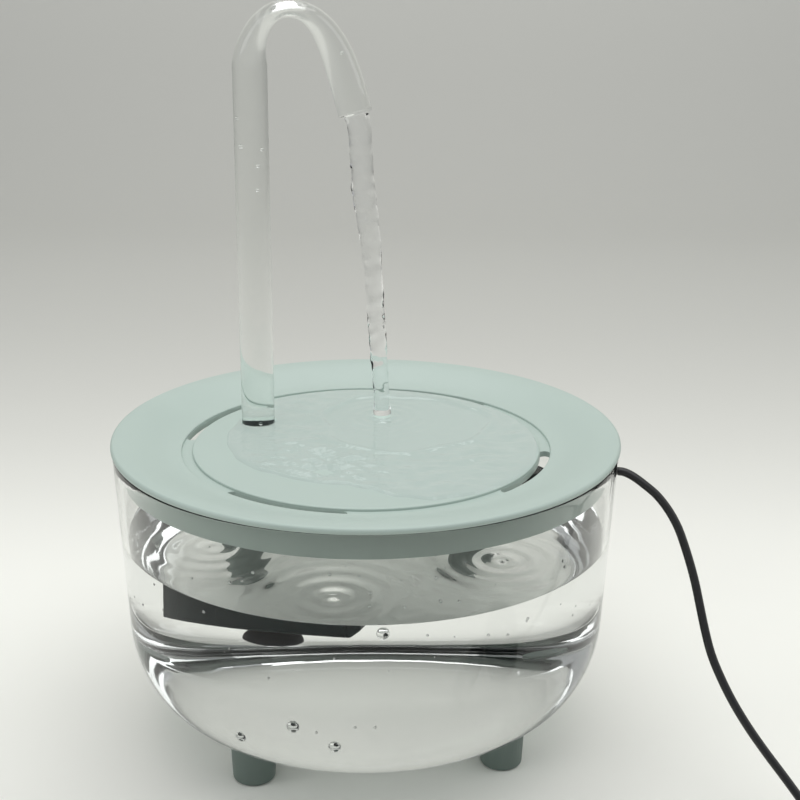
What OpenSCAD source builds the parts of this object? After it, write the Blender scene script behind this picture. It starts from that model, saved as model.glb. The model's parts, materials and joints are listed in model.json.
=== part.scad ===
// Countertop water fountain for cats and small dogs: a clear bowl on stub feet, a drinking
// tray with a drain channel that closes the bowl, a gooseneck spout that turns in the tray,
// and a small submersible pump plugged into the underside of the tray.
// Z is up. The origin is on the floor under the middle of the bowl.

/* [Bowl] */
// Outer radius of the bowl at its rim
bowl_r = 99.5; // [94:0.5:106]
// Outer height of the bowl from its flat bottom to its rim
bowl_depth = 105; // [98:1:120]
// Wall thickness of the bowl
bowl_wall = 2.5; // [2:0.1:3.2]
// Thickness of the flat bottom
bowl_floor = 3; // [2.5:0.1:4]
// Loss of radius per mm of depth along the wall
bowl_taper = 0.05; // [0:0.01:0.07]
// Height of the wall above the rounded lower corner
wall_depth = 69; // [60:1:72]
// Radius of the flat bottom
base_r = 72.5; // [70:0.5:78]

/* [Feet] */
// Height of a foot, floor to bowl
foot_h = 16; // [12:0.5:20]
// Radius of a foot where it meets the bowl
foot_top_r = 8.8; // [7:0.1:10]
// Radius of a foot near the floor
foot_low_r = 8.2; // [6:0.1:9]
// Distance of a foot's middle from the edge of the flat bottom
foot_inset = 4; // [3:0.5:10]
// Direction of the first foot, degrees from +X
foot_turn = 52; // [0:1:89]
// Radius of the peg that seats a foot in the bowl
foot_peg_r = 4; // [3:0.1:5]
// Length of that peg
foot_peg_h = 1.5; // [1:0.1:2]

/* [Tray] */
// How far the tray's rim stands out past the bowl
tray_overhang = 0.5; // [0:0.1:2]
// Height of the tray's rim over the bowl's rim
tray_rim_h = 2.4; // [2.2:0.1:4]
// Wall thickness of the tray
tray_wall = 2.2; // [1.8:0.1:2.6]
// Depth of the tray's inner disc below the bowl's rim
disc_drop = 3.2; // [1.6:0.1:4]
// Extra depth of the dished middle
disc_dish = 0.6; // [0.1:0.1:1]
// Radius of the dished middle
dish_r = 38; // [30:1:38]
// Outer radius of the drain channel
channel_r = 72.8; // [70:0.1:75]
// Width of the drain channel
channel_w = 4.2; // [4.2:0.1:5.5]
// Width of a drain slot in the channel
slot_w = 3.9; // [3.2:0.1:4]
// Depth of the drain channel
channel_depth = 1; // [0.6:0.1:1.4]
// Number of drain slots in the channel
slot_count = 4; // [3:1:5]
// Length of a drain slot in degrees
slot_angle = 36.5; // [20:0.5:45]
// Direction of the middle of the first slot
slot_turn = 66; // [60:1:70]
// Depth of the skirt that centres the tray in the bowl
skirt_depth = 10.3; // [9:0.1:13]
// Thickness of the skirt
skirt_wall = 2; // [1.6:0.1:2.4]
// Clearance between the skirt and the bowl at the rim
skirt_gap = 1.8; // [1.6:0.1:2.4]
// Number of stiffening ribs under the tray
rib_count = 8; // [6:1:10]

/* [Spout] */
// Distance of the spout's leg from the middle of the tray
spout_ring = 51.3; // [48:0.1:53]
// Direction of the spout's leg, degrees from +X
spout_turn = 152; // [145:1:156]
// Outer radius of the spout tube
tube_r = 6.75; // [6.4:0.05:7.2]
// Wall thickness of the spout tube
tube_wall = 1.5; // [1.3:0.05:1.7]
// Height of the leg above the bowl's rim, up to where the arch starts
leg_h = 142; // [120:1:160]
// Depth of the leg's foot below the bowl's rim
leg_seat = 31; // [28:0.5:33]
// Distance from the leg to the crown of the arch
crown_x = 14.8; // [12:0.2:20]
// Height of the crown above the top of the straight leg
crown_h = 20.5; // [16:0.5:26]
// Distance from the leg to the outlet
reach = 40.6; // [34:0.2:48]
// Height of the crown above the outlet
outlet_drop = 39.5; // [34:0.5:46]
// Lean of the outlet from straight down, in degrees
outlet_lean = 14.5; // [8:0.5:20]
// Direction in which the arch points, degrees from +X
arch_turn = 8; // [0:1:40]
// Share of the tube's thickness that the bend presses flat at the crown
arch_press = 0.5; // [0.3:0.05:0.5]
// Share by which the tube grows sideways at the crown
arch_spread = 0.3; // [0.1:0.05:0.4]
// Running clearance of the leg in the tray's socket
socket_play = 0.06; // [0.04:0.01:0.1]
// Wall thickness of the socket under the tray
socket_wall = 2.6; // [2:0.1:3]

/* [Pump] */
// Depth of the pump's top below the bowl's rim
pump_drop = 45; // [45:0.5:54]
// Length of the pump housing
housing_l = 37.5; // [32:0.5:42]
// Width of the pump
pump_w = 27; // [27:0.5:32]
// Height of the pump
pump_h = 29.5; // [28:0.5:34]
// Wall thickness of the pump housing
pump_wall = 1.8; // [1.4:0.1:2.2]
// Turn of the pump about the spout, degrees from +X
pump_turn = -12; // [-20:1:0]
// Radius of the spigot that plugs into the tray
spigot_r = 8; // [7.6:0.1:8.4]
// Radius of the outlet nozzle
nozzle_r = 4; // [3.6:0.1:4.2]
// Radius of the bore of the outlet nozzle
nozzle_bore_r = 2.8; // [2.4:0.1:3]
// Radius of the impeller
impeller_r = 9.4; // [8.5:0.1:9.6]
// Number of impeller vanes
vane_count = 6; // [4:1:8]
// Radius of the rotor magnet
rotor_r = 4.6; // [4.2:0.1:4.7]
// Length of the rotor magnet
rotor_l = 19.4; // [16:0.2:20]
// Radius of the ceramic shaft
shaft_r = 1; // [0.8:0.05:1.2]
// Radius of the suction cup
cup_r = 8.5; // [7:0.1:9]
// Height of the suction cup below the pump
cup_h = 7; // [6:0.5:9]
// Radius of the flow dial
dial_r = 8.5; // [7.5:0.1:9]
// Number of windows in the flow dial
window_count = 3; // [2:1:3]

/* [Cable] */
// Radius of the cable
cable_r = 1.6; // [1.5:0.1:1.7]
// Direction in which the cable leaves the rim
exit_turn = -17; // [-17:1:-17]
// Depth of the cable's middle below the bowl's rim where it leaves
exit_drop = 3.2; // [3.2:0.1:3.2]
// Clearance around the cable in the bowl's notch
notch_gap = 0.7; // [0.5:0.1:1.2]

/* [Plug] */
// Length of the moulded plug body
plug_l = 20; // [16:1:26]
// Width of the moulded plug body
plug_w = 15.6; // [14:0.2:17]
// Thickness of the moulded plug body
plug_t = 8.4; // [7.5:0.1:9]

/* [Hidden] */
$fn = 96;

// Colours
SAGE = [0.73, 0.80, 0.77];
FOOT_GREY = [0.38, 0.44, 0.42];
PUMP_BLACK = [0.10, 0.12, 0.12];
RUBBER_BLACK = [0.07, 0.07, 0.08];
CLEAR = [0.85, 0.90, 0.92, 0.4];

// Bowl and feet
rim_z = foot_h + bowl_depth;
corner_h = bowl_depth - wall_depth;
wall_low_r = bowl_r - bowl_taper * wall_depth;
bowl_inner_r = bowl_r - bowl_wall;
rim_round = 0.7;
foot_ring = base_r - foot_inset;
foot_round = 1.6;
peg_gap = 0.05;

// Tray
tray_r = bowl_r + tray_overhang;
crest_r = tray_r - tray_rim_h - 0.6;
rim_nose = 1.3;
seat_cut = 0.8;
channel_in_r = channel_r - channel_w;
skirt_r = bowl_inner_r - skirt_gap;
margin_steps = 12;
rib_wall = 1.6;
rib_h = 1.4;
rib_start_r = 8;
rib_end_r = channel_in_r - 4;
disc_under_z = rim_z - disc_drop - disc_dish - tray_wall;
clip_wall = 1.2;
clip_w = 5;
clip_rings = [26, 58];
slot_end_cut = 15;

// Spout and its socket
spout_x = spout_ring * cos(spout_turn);
spout_y = spout_ring * sin(spout_turn);
tube_bore_r = tube_r - tube_wall;
socket_r = tube_r + socket_play;
socket_out_r = socket_r + socket_wall;
leg_foot_z = rim_z - leg_seat;
leg_top_z = rim_z + leg_h;
arch_sides = 24;
rise_steps = 9;
arch_steps = 22;
rise_pull = 14;
fall_pull = 24;
arch_step = 0.02;
arch_wall = tube_r - (tube_bore_r + arch_step) / cos(180 / arch_sides);
bush_h = 13;
bush_gap = 0.05;

// Pump, along its own X axis, which starts at the spout's leg
pump_top_z = rim_z - pump_drop;
rotor_z = pump_top_z - pump_h / 2;
pump_low_z = pump_top_z - pump_h;
pump_round = 3;
cover_x = -5.6;
cover_wall = 1.4;
housing_x = 5;
plate_t = 2.5;
housing_end_x = housing_x + housing_l;
cavity_x = housing_x + plate_t;
rear_plug_l = 2;
rear_cap_t = 4;
rear_bevel = 3.2;
chamber_r = impeller_r + 1.4;
hub_r = 2.6;
hub_arm = 1.4;
intake_r = 5.2;
seal_r = 0.6;
seal_ring = chamber_r + 1.5;
boss_gap = 2;
boss_low_z = pump_top_z + boss_gap;
spigot_top_z = boss_low_z + 11;
spigot_gap = 0.05;
spigot_low_z = pump_top_z + 0.4;
neck_r = nozzle_r + 0.9;
nozzle_top_z = leg_foot_z + bush_h - 1;
shaft_play = 0.06;
impeller_x = -3.4;
vane_l = 5;
disc_t = 1.2;
rotor_x = impeller_x + vane_l + disc_t;
rotor_end_x = rotor_x + rotor_l;
well_wall = 1;
well_bore_r = rotor_r + 0.4;
well_r = well_bore_r + well_wall;
rear_bush_x = rotor_end_x + 0.4;
rear_bush_l = 1.8;
well_end_x = rear_bush_x + rear_bush_l;
cap_t = 3.8;
cap_x = cover_x - cap_t;
cap_recess = 0.8;
cap_pin_r = 1.2;
cap_pin_l = 2.4;
cap_pin_y = pump_w / 2 - 2.5;
cap_pin_z = pump_h / 2 - 2.5;
pin_gap = 0.05;
dial_t = 1.4;
dial_seat_x = cap_x + dial_t;
dial_grip_r = dial_r + 2;
dial_gap = 0.4;
dial_pin_r = 1.5;
window_in_r = 3;
window_out_r = dial_r - 1;
window_angle = 60;
cup_x = 19;
cup_stem_r = 2;
cup_stem_h = pump_wall - 0.6;
gland_x = housing_end_x - 5;
gland_h = 7;

// Cable: the lead inside runs to the exit on one radius under the tray
exit_z = rim_z - exit_drop;
lead_run_z = disc_under_z - rib_h - cable_r - 0.6;
gland_pos = [spout_x + gland_x * cos(pump_turn), spout_y + gland_x * sin(pump_turn)];
lead_rise = [[3, 0.2], [9, 0.5], [15, 0.88], [18.7, 1]];
lead_points = concat(
    [for (z = [pump_top_z - pump_wall, pump_top_z + 8, pump_top_z + 18, lead_run_z - 12])
        [gland_pos.x, gland_pos.y, z]],
    [[gland_pos.x * 0.85 + 0.6, gland_pos.y * 0.85 - 0.5, lead_run_z - 5],
     [gland_pos.x * 0.4 + 2, gland_pos.y * 0.4 - 1, lead_run_z - 0.8]],
    [for (r = [12, 20, 30, 40, 50, 60, 68]) on_exit(r, lead_run_z)],
    [for (step = lead_rise) on_exit(channel_r + step[0], lead_run_z + (exit_z - lead_run_z) * step[1])],
    [on_exit(tray_r, exit_z)]);
grommet_r = 3;
grommet_flange_r = 3.9;
grommet_gap = 0.05;
grommet_cut = 0.6;
flange_t = 0.8;

// Route of the cable outside, from the rim to the coil on the floor
cord_points = [
    [95.9, -29.3, 117.8], [97.8, -29.9, 117.8], [100.3, -30.7, 117], [103, -31.9, 115.6],
    [106, -33.3, 113.6], [109.3, -34.8, 111.2], [112, -36.3, 108.5], [114.6, -38, 105.2], [117, -40, 101.3],
    [118.9, -42, 97.1], [121.6, -45.8, 89.2], [123.8, -49.5, 81.3], [125.5, -53.1, 73.3],
    [127.2, -56.9, 65.3], [129.3, -60.9, 57.5], [132.6, -65.2, 49.9], [136.7, -69.5, 42.4],
    [141.8, -74, 34.8], [147.8, -78.8, 27.2], [154.2, -84, 19.8], [160.2, -89.8, 12.8],
    [165.4, -96.4, 7], [169.4, -103.8, 3.2], [171.6, -112, 1.8], [172.2, -118, 1.9],
    [172.2, -124, 2.1]];
coil_pos = [150.4, -124];
coil_turn_r = 18.6;
coil_columns = 3;
coil_layers = 4;
coil_in_r = coil_turn_r - coil_columns * cable_r;
coil_out_r = coil_turn_r + coil_columns * cable_r;
tie_t = 0.5;
tie_w = 5;
tie_gap = 0.05;
coil_low_z = tie_t;
coil_top_z = coil_low_z + 2 * coil_layers * cable_r;
tail_points = [
    [150.4, -145.8, 11.7], [146.5, -145.8, 11.2], [143, -145.8, 9.5], [139.5, -145.8, 7.2],
    [136.5, -145.8, 5.2], [134, -145.8, 4.2]];
plug_z = plug_t / 2;
plug_end = [134, -145.8];
relief_l = 8;
shell_l = 17.5;
shell_w = 12;
shell_h = 4.5;
shell_t = 0.4;
tongue_t = 1.7;
sides = 8;

// ---------- helpers ----------

function on_exit(r, z) = [r * cos(exit_turn), r * sin(exit_turn), z];

function unit(v) = v / norm(v);

// Points of an arc of an ellipse with half axes a and b, from one angle to another
function arc(cx, cz, a, b, from, to, n) =
    [for (i = [0 : n]) let (t = from + (to - from) * i / n) [cx + a * cos(t), cz + b * sin(t)]];

function smooth(t) = t * t * (3 - 2 * t);

// The two triangles of a four-cornered face
function halves(f) = [[f[0], f[1], f[2]], [f[0], f[2], f[3]]];

function tangent(p, i) = unit(p[min(i + 1, len(p) - 1)] - p[max(i - 1, 0)]);

// A ring of points around path point i, square to the path
function ring(p, i, r, n) =
    let (t = tangent(p, i), u = unit(cross(t, [1, 1, 1])), v = cross(t, u))
    [for (j = [0 : n - 1]) p[i] + r * (cos(360 * j / n) * u + sin(360 * j / n) * v)];

// A round cable swept along a list of points
module swept_cable(points, r, n) {
    last = len(points) - 1;
    rings = [for (i = [0 : last]) each ring(points, i, r, n)];
    walls = [for (i = [0 : last - 1], j = [0 : n - 1])
        each halves([i * n + j, (i + 1) * n + j, (i + 1) * n + (j + 1) % n, i * n + (j + 1) % n])];
    start = [[for (j = [0 : n - 1]) j]];
    end = [[for (j = [0 : n - 1]) last * n + n - 1 - j]];
    polyhedron(points = rings, faces = concat(start, walls, end), convexity = 8);
}

module rounded_rect(w, h, r) {
    square([w - 2 * r, h], center = true);
    square([w, h - 2 * r], center = true);
    for (x = [-1, 1], y = [-1, 1])
        translate([x * (w / 2 - r), y * (h / 2 - r)]) circle(r);
}

module at_exit() {
    rotate([0, 0, exit_turn]) translate([0, 0, exit_z]) children();
}

module at_spout() {
    translate([spout_x, spout_y, 0]) children();
}

module at_pump() {
    at_spout() rotate([0, 0, pump_turn]) children();
}

// A block with rounded long edges, from x0 to x1 along the pump
module pump_bar(x0, x1, w, h, r) {
    translate([x0, 0, rotor_z]) rotate([90, 0, 90]) linear_extrude(x1 - x0) rounded_rect(w, h, r);
}

// A cylinder on the rotor's axis, from x0 to x1
module rotor_rod(x0, x1, r) {
    translate([x0, 0, rotor_z]) rotate([0, 90, 0]) cylinder(r = r, h = x1 - x0);
}

// Windows that the flow dial opens and closes
module windows(x0, x1) {
    translate([x0, 0, rotor_z]) rotate([0, 90, 0])
        for (i = [0 : window_count - 1])
            rotate([0, 0, 360 / window_count * i]) rotate_extrude(angle = window_angle)
                translate([window_in_r, 0]) square([window_out_r - window_in_r, x1 - x0]);
}

// ---------- bowl and feet ----------

function bowl_outside() = concat(
    [[0, foot_h]],
    arc(base_r, foot_h + corner_h, wall_low_r - base_r, corner_h, -90, 0, 18),
    arc(bowl_r - rim_round, rim_z - rim_round, rim_round, rim_round, 0, 90, 4));

function bowl_inside() = concat(
    arc(bowl_inner_r + rim_round, rim_z - rim_round, rim_round, rim_round, 90, 180, 4),
    arc(base_r, foot_h + corner_h, wall_low_r - bowl_wall - base_r, corner_h - bowl_floor, 0, -90, 18),
    [[0, foot_h + bowl_floor]]);

module bowl() {
    color(CLEAR) difference() {
        rotate_extrude() polygon(concat(bowl_outside(), bowl_inside()));
        at_exit() cable_notch();
        for (i = [0 : 3]) at_foot(i) cylinder(r = foot_peg_r + peg_gap, h = foot_h + foot_peg_h);
    }
}

// U-shaped notch through the bowl's rim, open at the top
module cable_notch() {
    notch_r = cable_r + notch_gap;
    translate([bowl_inner_r - 3, 0, 0]) rotate([0, 90, 0]) cylinder(r = notch_r, h = bowl_wall + 6);
    translate([bowl_inner_r - 3, -notch_r, 0]) cube([bowl_wall + 6, 2 * notch_r, exit_drop + 1]);
}

module at_foot(i) {
    rotate([0, 0, foot_turn + 90 * i]) translate([foot_ring, 0, 0]) children();
}

module foot(i) {
    color(FOOT_GREY) at_foot(i) rotate_extrude() polygon(concat(
        [[0, 0]],
        arc(foot_low_r - foot_round, foot_round, foot_round, foot_round, -90, 0, 6),
        [[foot_top_r, foot_h], [foot_peg_r, foot_h], [foot_peg_r, foot_h + foot_peg_h],
         [0, foot_h + foot_peg_h]]));
}

module foot_back_right() { foot(0); }
module foot_back_left() { foot(1); }
module foot_front_left() { foot(2); }
module foot_front_right() { foot(3); }

// ---------- tray ----------

// Height of the tray's upper face at radius r, over the bowl's rim
function tray_face(r) =
    r < channel_r
        ? -disc_drop - disc_dish * (1 - smooth(min(r / dish_r, 1)))
        : -disc_drop + (tray_rim_h + disc_drop) * smooth((r - channel_r) / (crest_r - channel_r));

module tray_shell() {
    disc = [for (i = [0 : 6]) dish_r * i / 6];
    margin = [for (i = [0 : margin_steps]) channel_r + (crest_r - channel_r) * i / margin_steps];
    under = [for (r = margin) if (r > channel_r + 2 && r < skirt_r - skirt_wall - 1) r];
    inner_skirt_r = skirt_r - skirt_wall;
    rotate_extrude() translate([0, rim_z]) polygon(concat(
        [for (r = disc) [r, tray_face(r)]],
        [[channel_in_r, -disc_drop], [channel_in_r, -disc_drop - channel_depth],
         [channel_r, -disc_drop - channel_depth]],
        [for (r = margin) [r, tray_face(r)]],
        arc(tray_r - rim_nose, tray_rim_h - rim_nose, rim_nose, rim_nose, 90, 0, 6),
        [[tray_r, seat_cut], [tray_r - seat_cut, 0], [skirt_r, 0], [skirt_r, -skirt_depth],
         [inner_skirt_r, -skirt_depth], [inner_skirt_r, tray_face(inner_skirt_r) - tray_wall]],
        [for (i = [len(under) - 1 : -1 : 0]) [under[i], tray_face(under[i]) - tray_wall]],
        [[channel_r + 1.5, -disc_drop - channel_depth - tray_wall],
         [channel_in_r - 1.5, -disc_drop - channel_depth - tray_wall],
         [channel_in_r - 3, -disc_drop - tray_wall]],
        [for (i = [6 : -1 : 0]) [disc[i], tray_face(disc[i]) - tray_wall]]));
}

// Slots in the channel that let the water back into the bowl
module drain_slots() {
    channel_z = rim_z - disc_drop - channel_depth;
    channel_mid_r = channel_r - channel_w / 2;
    for (i = [0 : slot_count - 1]) rotate([0, 0, slot_turn + 360 / slot_count * i])
        translate([0, 0, channel_z - 2 * tray_wall]) linear_extrude(3 * tray_wall)
            polygon(slot_outline(channel_mid_r, slot_w / 2, slot_angle / 2));
}

// Curved slot with round ends: outer arc, far end, inner arc, near end
function slot_outline(mid, half, a) = concat(
    arc(0, 0, mid + half, mid + half, -a, a, 18),
    arc(mid * cos(a), mid * sin(a), half, half, a + slot_end_cut, a + 180 - slot_end_cut, 10),
    arc(0, 0, mid - half, mid - half, a, -a, 18),
    arc(mid * cos(a), -mid * sin(a), half, half,
        180 + slot_end_cut - a, 360 - slot_end_cut - a, 10));

module tray_ribs() {
    for (i = [0 : rib_count - 1]) rotate([0, 0, 360 / rib_count * (i + 0.5)])
        translate([rib_start_r, -rib_wall / 2, disc_under_z - rib_h])
            cube([rib_end_r - rib_start_r, rib_wall, rib_h + disc_dish + 0.5]);
    difference() {
        translate([0, 0, disc_under_z - rib_h]) cylinder(r = rib_start_r + rib_wall, h = rib_h + 0.5);
        translate([0, 0, disc_under_z - rib_h - 1]) cylinder(r = rib_start_r, h = rib_h + 3);
    }
}

// Clip that holds the lead under the tray, open at the bottom
module lead_clip(r) {
    clip_r = cable_r + 0.1;
    rotate([0, 0, exit_turn]) translate([r, 0, lead_run_z]) difference() {
        union() {
            rotate([0, 90, 0]) cylinder(r = clip_r + clip_wall, h = clip_w, center = true);
            translate([-clip_w / 2, -clip_wall, 0])
                cube([clip_w, 2 * clip_wall, disc_under_z - lead_run_z + disc_dish + 0.8]);
        }
        rotate([0, 90, 0]) cylinder(r = clip_r, h = clip_w + 2, center = true);
        translate([-clip_w, -clip_r + 0.4, -2 * clip_r - clip_wall])
            cube([2 * clip_w, 2 * clip_r - 0.8, 2 * clip_r + clip_wall - 0.2]);
    }
}

module tray() {
    color(SAGE) difference() {
        union() {
            tray_shell();
            tray_ribs();
            for (r = clip_rings) lead_clip(r);
            at_spout() translate([0, 0, boss_low_z])
                cylinder(r = socket_out_r, h = rim_z - disc_drop - tray_wall / 2 - boss_low_z);
        }
        drain_slots();
        at_spout() {
            cylinder(r = socket_r, h = 2 * rim_z);
            cylinder(r = spigot_r, h = spigot_top_z);
        }
        at_exit() skirt_slot();
    }
}

// Slot in the skirt for the grommet, open at the bottom
module skirt_slot() {
    slot_x = skirt_r - skirt_wall - 0.5;
    translate([slot_x, 0, 0]) rotate([0, 90, 0]) cylinder(r = grommet_r, h = skirt_wall + 1);
    translate([slot_x, -grommet_r, -skirt_depth]) cube([skirt_wall + 1, 2 * grommet_r, skirt_depth]);
}

module skirt_grommet() {
    in_x = sqrt(pow(skirt_r - skirt_wall, 2) - pow(grommet_flange_r, 2)) - grommet_gap;
    color(RUBBER_BLACK) at_exit() difference() {
        union() {
            translate([in_x, 0, 0]) rotate([0, 90, 0])
                cylinder(r = grommet_r - grommet_gap, h = skirt_r - in_x);
            translate([in_x - flange_t, 0, 0]) rotate([0, 90, 0])
                cylinder(r = grommet_flange_r, h = flange_t);
            translate([skirt_r, 0, 0]) rotate([0, 90, 0]) cylinder(r = grommet_flange_r, h = flange_t);
        }
        translate([in_x - 2, 0, 0]) rotate([0, 90, 0]) cylinder(r = cable_r + 0.05, h = skirt_wall + 4);
        translate([in_x - 2, -5, exit_drop - grommet_cut]) cube([skirt_wall + 4, 10, 4]);
    }
}

// ---------- pump ----------

module pump_front_cover() {
    color(PUMP_BLACK) at_pump() difference() {
        union() {
            pump_bar(cover_x, housing_x, pump_w, pump_h, pump_round);
            translate([0, 0, spigot_low_z])
                cylinder(r = spigot_r - spigot_gap, h = spigot_top_z - spigot_low_z);
            translate([0, 0, rotor_z + chamber_r])
                cylinder(r = neck_r, h = spigot_low_z - rotor_z - chamber_r);
            translate([0, 0, spigot_low_z]) cylinder(r = nozzle_r, h = nozzle_top_z - spigot_low_z);
        }
        pump_bar(housing_x, housing_end_x, pump_w + 1, pump_h, pump_round);
        translate([0, 0, rotor_z]) cylinder(r = nozzle_bore_r, h = nozzle_top_z);
        rotor_rod(cover_x + cover_wall, housing_x + 1, chamber_r);
        difference() {
            rotor_rod(cover_x - 1, cover_x + cover_wall + 1, intake_r);
            rotor_rod(cover_x - 1, cover_x + cover_wall, hub_r);
            for (i = [0 : 2]) translate([cover_x, 0, rotor_z]) rotate([120 * i, 0, 0])
                translate([0, -hub_arm / 2, 0]) cube([cover_wall, hub_arm, intake_r + 1]);
        }
        rotor_rod(cover_x - 1, cover_x + cover_wall + 1, bush_out_r());
        translate([housing_x - 2 * seal_r, 0, rotor_z]) rotate([0, 90, 0]) rotate_extrude()
            translate([seal_ring - seal_r, 0]) square([2 * seal_r, 2 * seal_r + 1]);
        for (y = [-1, 1], z = [-1, 1]) translate([cover_x - 1, y * cap_pin_y, rotor_z + z * cap_pin_z])
            rotate([0, 90, 0]) cylinder(r = cap_pin_r + pin_gap, h = cap_pin_l + 1.4);
    }
}

function bush_out_r() = shaft_r + 0.9;

module pump_housing() {
    in_w = pump_w - 2 * pump_wall;
    in_h = pump_h - 2 * pump_wall;
    color(PUMP_BLACK) at_pump() difference() {
        union() {
            difference() {
                pump_bar(housing_x, housing_end_x, pump_w, pump_h, pump_round);
                pump_bar(cavity_x, housing_end_x + 1, in_w, in_h, pump_round - pump_wall);
            }
            rotor_rod(housing_x, well_end_x + well_wall, well_r);
        }
        rotor_rod(housing_x - 1, well_end_x, well_bore_r);
        translate([cup_x, 0, pump_low_z - 1]) cylinder(r = cup_stem_r, h = 1 + cup_stem_h + 0.1);
        translate([gland_x, 0, pump_top_z - pump_wall - 1]) cylinder(r = gland_plug_r(), h = pump_wall + 2);
    }
}

function gland_plug_r() = cable_r + 1.2;

// Outline of the rear cap along the pump, its corners cut off, for a width or a height
function rear_outline(size) = let (end = housing_end_x + rear_cap_t, half = size / 2)
    [[housing_end_x - 1, -half - 1], [end - rear_bevel - 1, -half - 1], [end + 1, -half + rear_bevel + 1],
     [end + 1, half - rear_bevel - 1], [end - rear_bevel - 1, half + 1], [housing_end_x - 1, half + 1]];

module pump_rear_cap() {
    color(PUMP_BLACK) at_pump() {
        pump_bar(housing_end_x - rear_plug_l, housing_end_x + 1,
                 pump_w - 2 * pump_wall, pump_h - 2 * pump_wall, pump_round - pump_wall);
        intersection() {
            pump_bar(housing_end_x, housing_end_x + rear_cap_t, pump_w, pump_h, pump_round);
            translate([0, pump_w, rotor_z]) rotate([90, 0, 0]) linear_extrude(2 * pump_w)
                polygon(rear_outline(pump_h));
            translate([0, 0, pump_low_z - 1]) linear_extrude(pump_h + 2) polygon(rear_outline(pump_w));
        }
    }
}

module pump_stator() {
    color("dimgray") at_pump() difference() {
        pump_bar(cavity_x, housing_end_x - rear_plug_l, pump_w - 2 * pump_wall, pump_h - 2 * pump_wall,
                 pump_round - pump_wall);
        rotor_rod(cavity_x - 1, well_end_x + well_wall, well_r);
    }
}

module pump_seal() {
    color("saddlebrown") at_pump() translate([housing_x - seal_r, 0, rotor_z]) rotate([0, 90, 0])
        rotate_extrude() translate([seal_ring, 0]) circle(seal_r);
}

module shaft_bush(x0, x1, r) {
    color("ivory") at_pump() difference() {
        rotor_rod(x0, x1, r);
        rotor_rod(x0 - 1, x1 + 1, shaft_r);
    }
}

module pump_front_bush() { shaft_bush(cover_x + 0.2, cover_x + cover_wall + 0.4, bush_out_r()); }
module pump_rear_bush() { shaft_bush(rear_bush_x, well_end_x, well_bore_r); }

module pump_shaft() {
    color("white") at_pump() rotor_rod(cover_x + 0.2, well_end_x, shaft_r);
}

module pump_suction_cup() {
    lip = 0.9;
    waist_r = cup_stem_r + 0.6;
    waist_h = 2.2;
    skin = 1.3;
    color(RUBBER_BLACK) at_pump() translate([cup_x, 0, pump_low_z]) rotate_extrude() polygon(concat(
        [[0, cup_stem_h], [cup_stem_r, cup_stem_h], [cup_stem_r, 0], [waist_r, 0], [waist_r, -waist_h]],
        arc(waist_r, -cup_h, cup_r - waist_r, cup_h - waist_h, 80, 0, 8),
        arc(waist_r - skin, -cup_h, cup_r - lip - waist_r + skin, cup_h - waist_h - skin, 0, 80, 8),
        [[0, -waist_h - skin]]));
}

module pump_gland() {
    flange_r = gland_plug_r() + 1.4;
    color(RUBBER_BLACK) at_pump() translate([gland_x, 0, pump_top_z]) difference() {
        union() {
            translate([0, 0, -pump_wall]) cylinder(r = gland_plug_r(), h = pump_wall + 1);
            cylinder(r = flange_r, h = 1);
            translate([0, 0, 1]) cylinder(r1 = gland_plug_r() + 0.5, r2 = cable_r + 0.9, h = gland_h - 1);
        }
        translate([0, 0, -pump_wall - 1]) cylinder(r = cable_r + 0.05, h = gland_h + pump_wall + 2);
    }
}

module pump_lead() {
    color(RUBBER_BLACK) swept_cable(lead_points, cable_r, sides);
}

module impeller() {
    vane_t = 1;
    bend_r = impeller_r * 0.7;
    color("whitesmoke") at_pump() difference() {
        union() {
            rotor_rod(impeller_x, rotor_x, 2.4);
            rotor_rod(rotor_x - disc_t, rotor_x, impeller_r);
            intersection() {
                rotor_rod(impeller_x, rotor_x, impeller_r);
                translate([impeller_x, 0, rotor_z]) rotate([0, 90, 0])
                    for (i = [0 : vane_count - 1]) rotate([0, 0, 360 / vane_count * i])
                        translate([0, bend_r, 0]) rotate([0, 0, -90]) rotate_extrude(angle = 85)
                            translate([bend_r - vane_t / 2, 0]) square([vane_t, vane_l + 0.4]);
            }
        }
        rotor_rod(impeller_x - 1, rotor_x + 1, shaft_r + shaft_play);
    }
}

module rotor_magnet() {
    color("#3a3430") at_pump() difference() {
        rotor_rod(rotor_x, rotor_end_x, rotor_r);
        rotor_rod(rotor_x - 1, rotor_end_x + 1, shaft_r + shaft_play);
    }
}

module intake_cap() {
    color(PUMP_BLACK) at_pump() {
        difference() {
            pump_bar(cap_x, cover_x, pump_w, pump_h, pump_round);
            windows(dial_seat_x - 1, cover_x + 1);
            rotor_rod(cap_x - 1, dial_seat_x, dial_grip_r + dial_gap);
            rotor_rod(cap_x - 1, cover_x + 1, dial_pin_r + pin_gap);
            rotor_rod(cover_x - cap_recess, cover_x + 1, window_out_r + 0.6);
        }
        for (y = [-1, 1], z = [-1, 1]) translate([cover_x, y * cap_pin_y, rotor_z + z * cap_pin_z])
            rotate([0, 90, 0]) cylinder(r = cap_pin_r, h = cap_pin_l);
    }
}

module flow_dial() {
    grip_w = 3;
    color("#1c2422") at_pump() difference() {
        union() {
            rotor_rod(cap_x, dial_seat_x, dial_r);
            rotor_rod(cap_x, cover_x - cap_recess, dial_pin_r);
            translate([cap_x, -grip_w / 2, rotor_z]) cube([dial_t, grip_w, dial_grip_r]);
        }
        windows(cap_x - 1, dial_seat_x + 1);
    }
}

// ---------- spout ----------

module spout_bush() {
    color("gray") at_spout() translate([0, 0, leg_foot_z]) difference() {
        cylinder(r = tube_bore_r - bush_gap, h = bush_h);
        translate([0, 0, -1]) cylinder(r = nozzle_r + bush_gap, h = bush_h + 2);
    }
}

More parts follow.
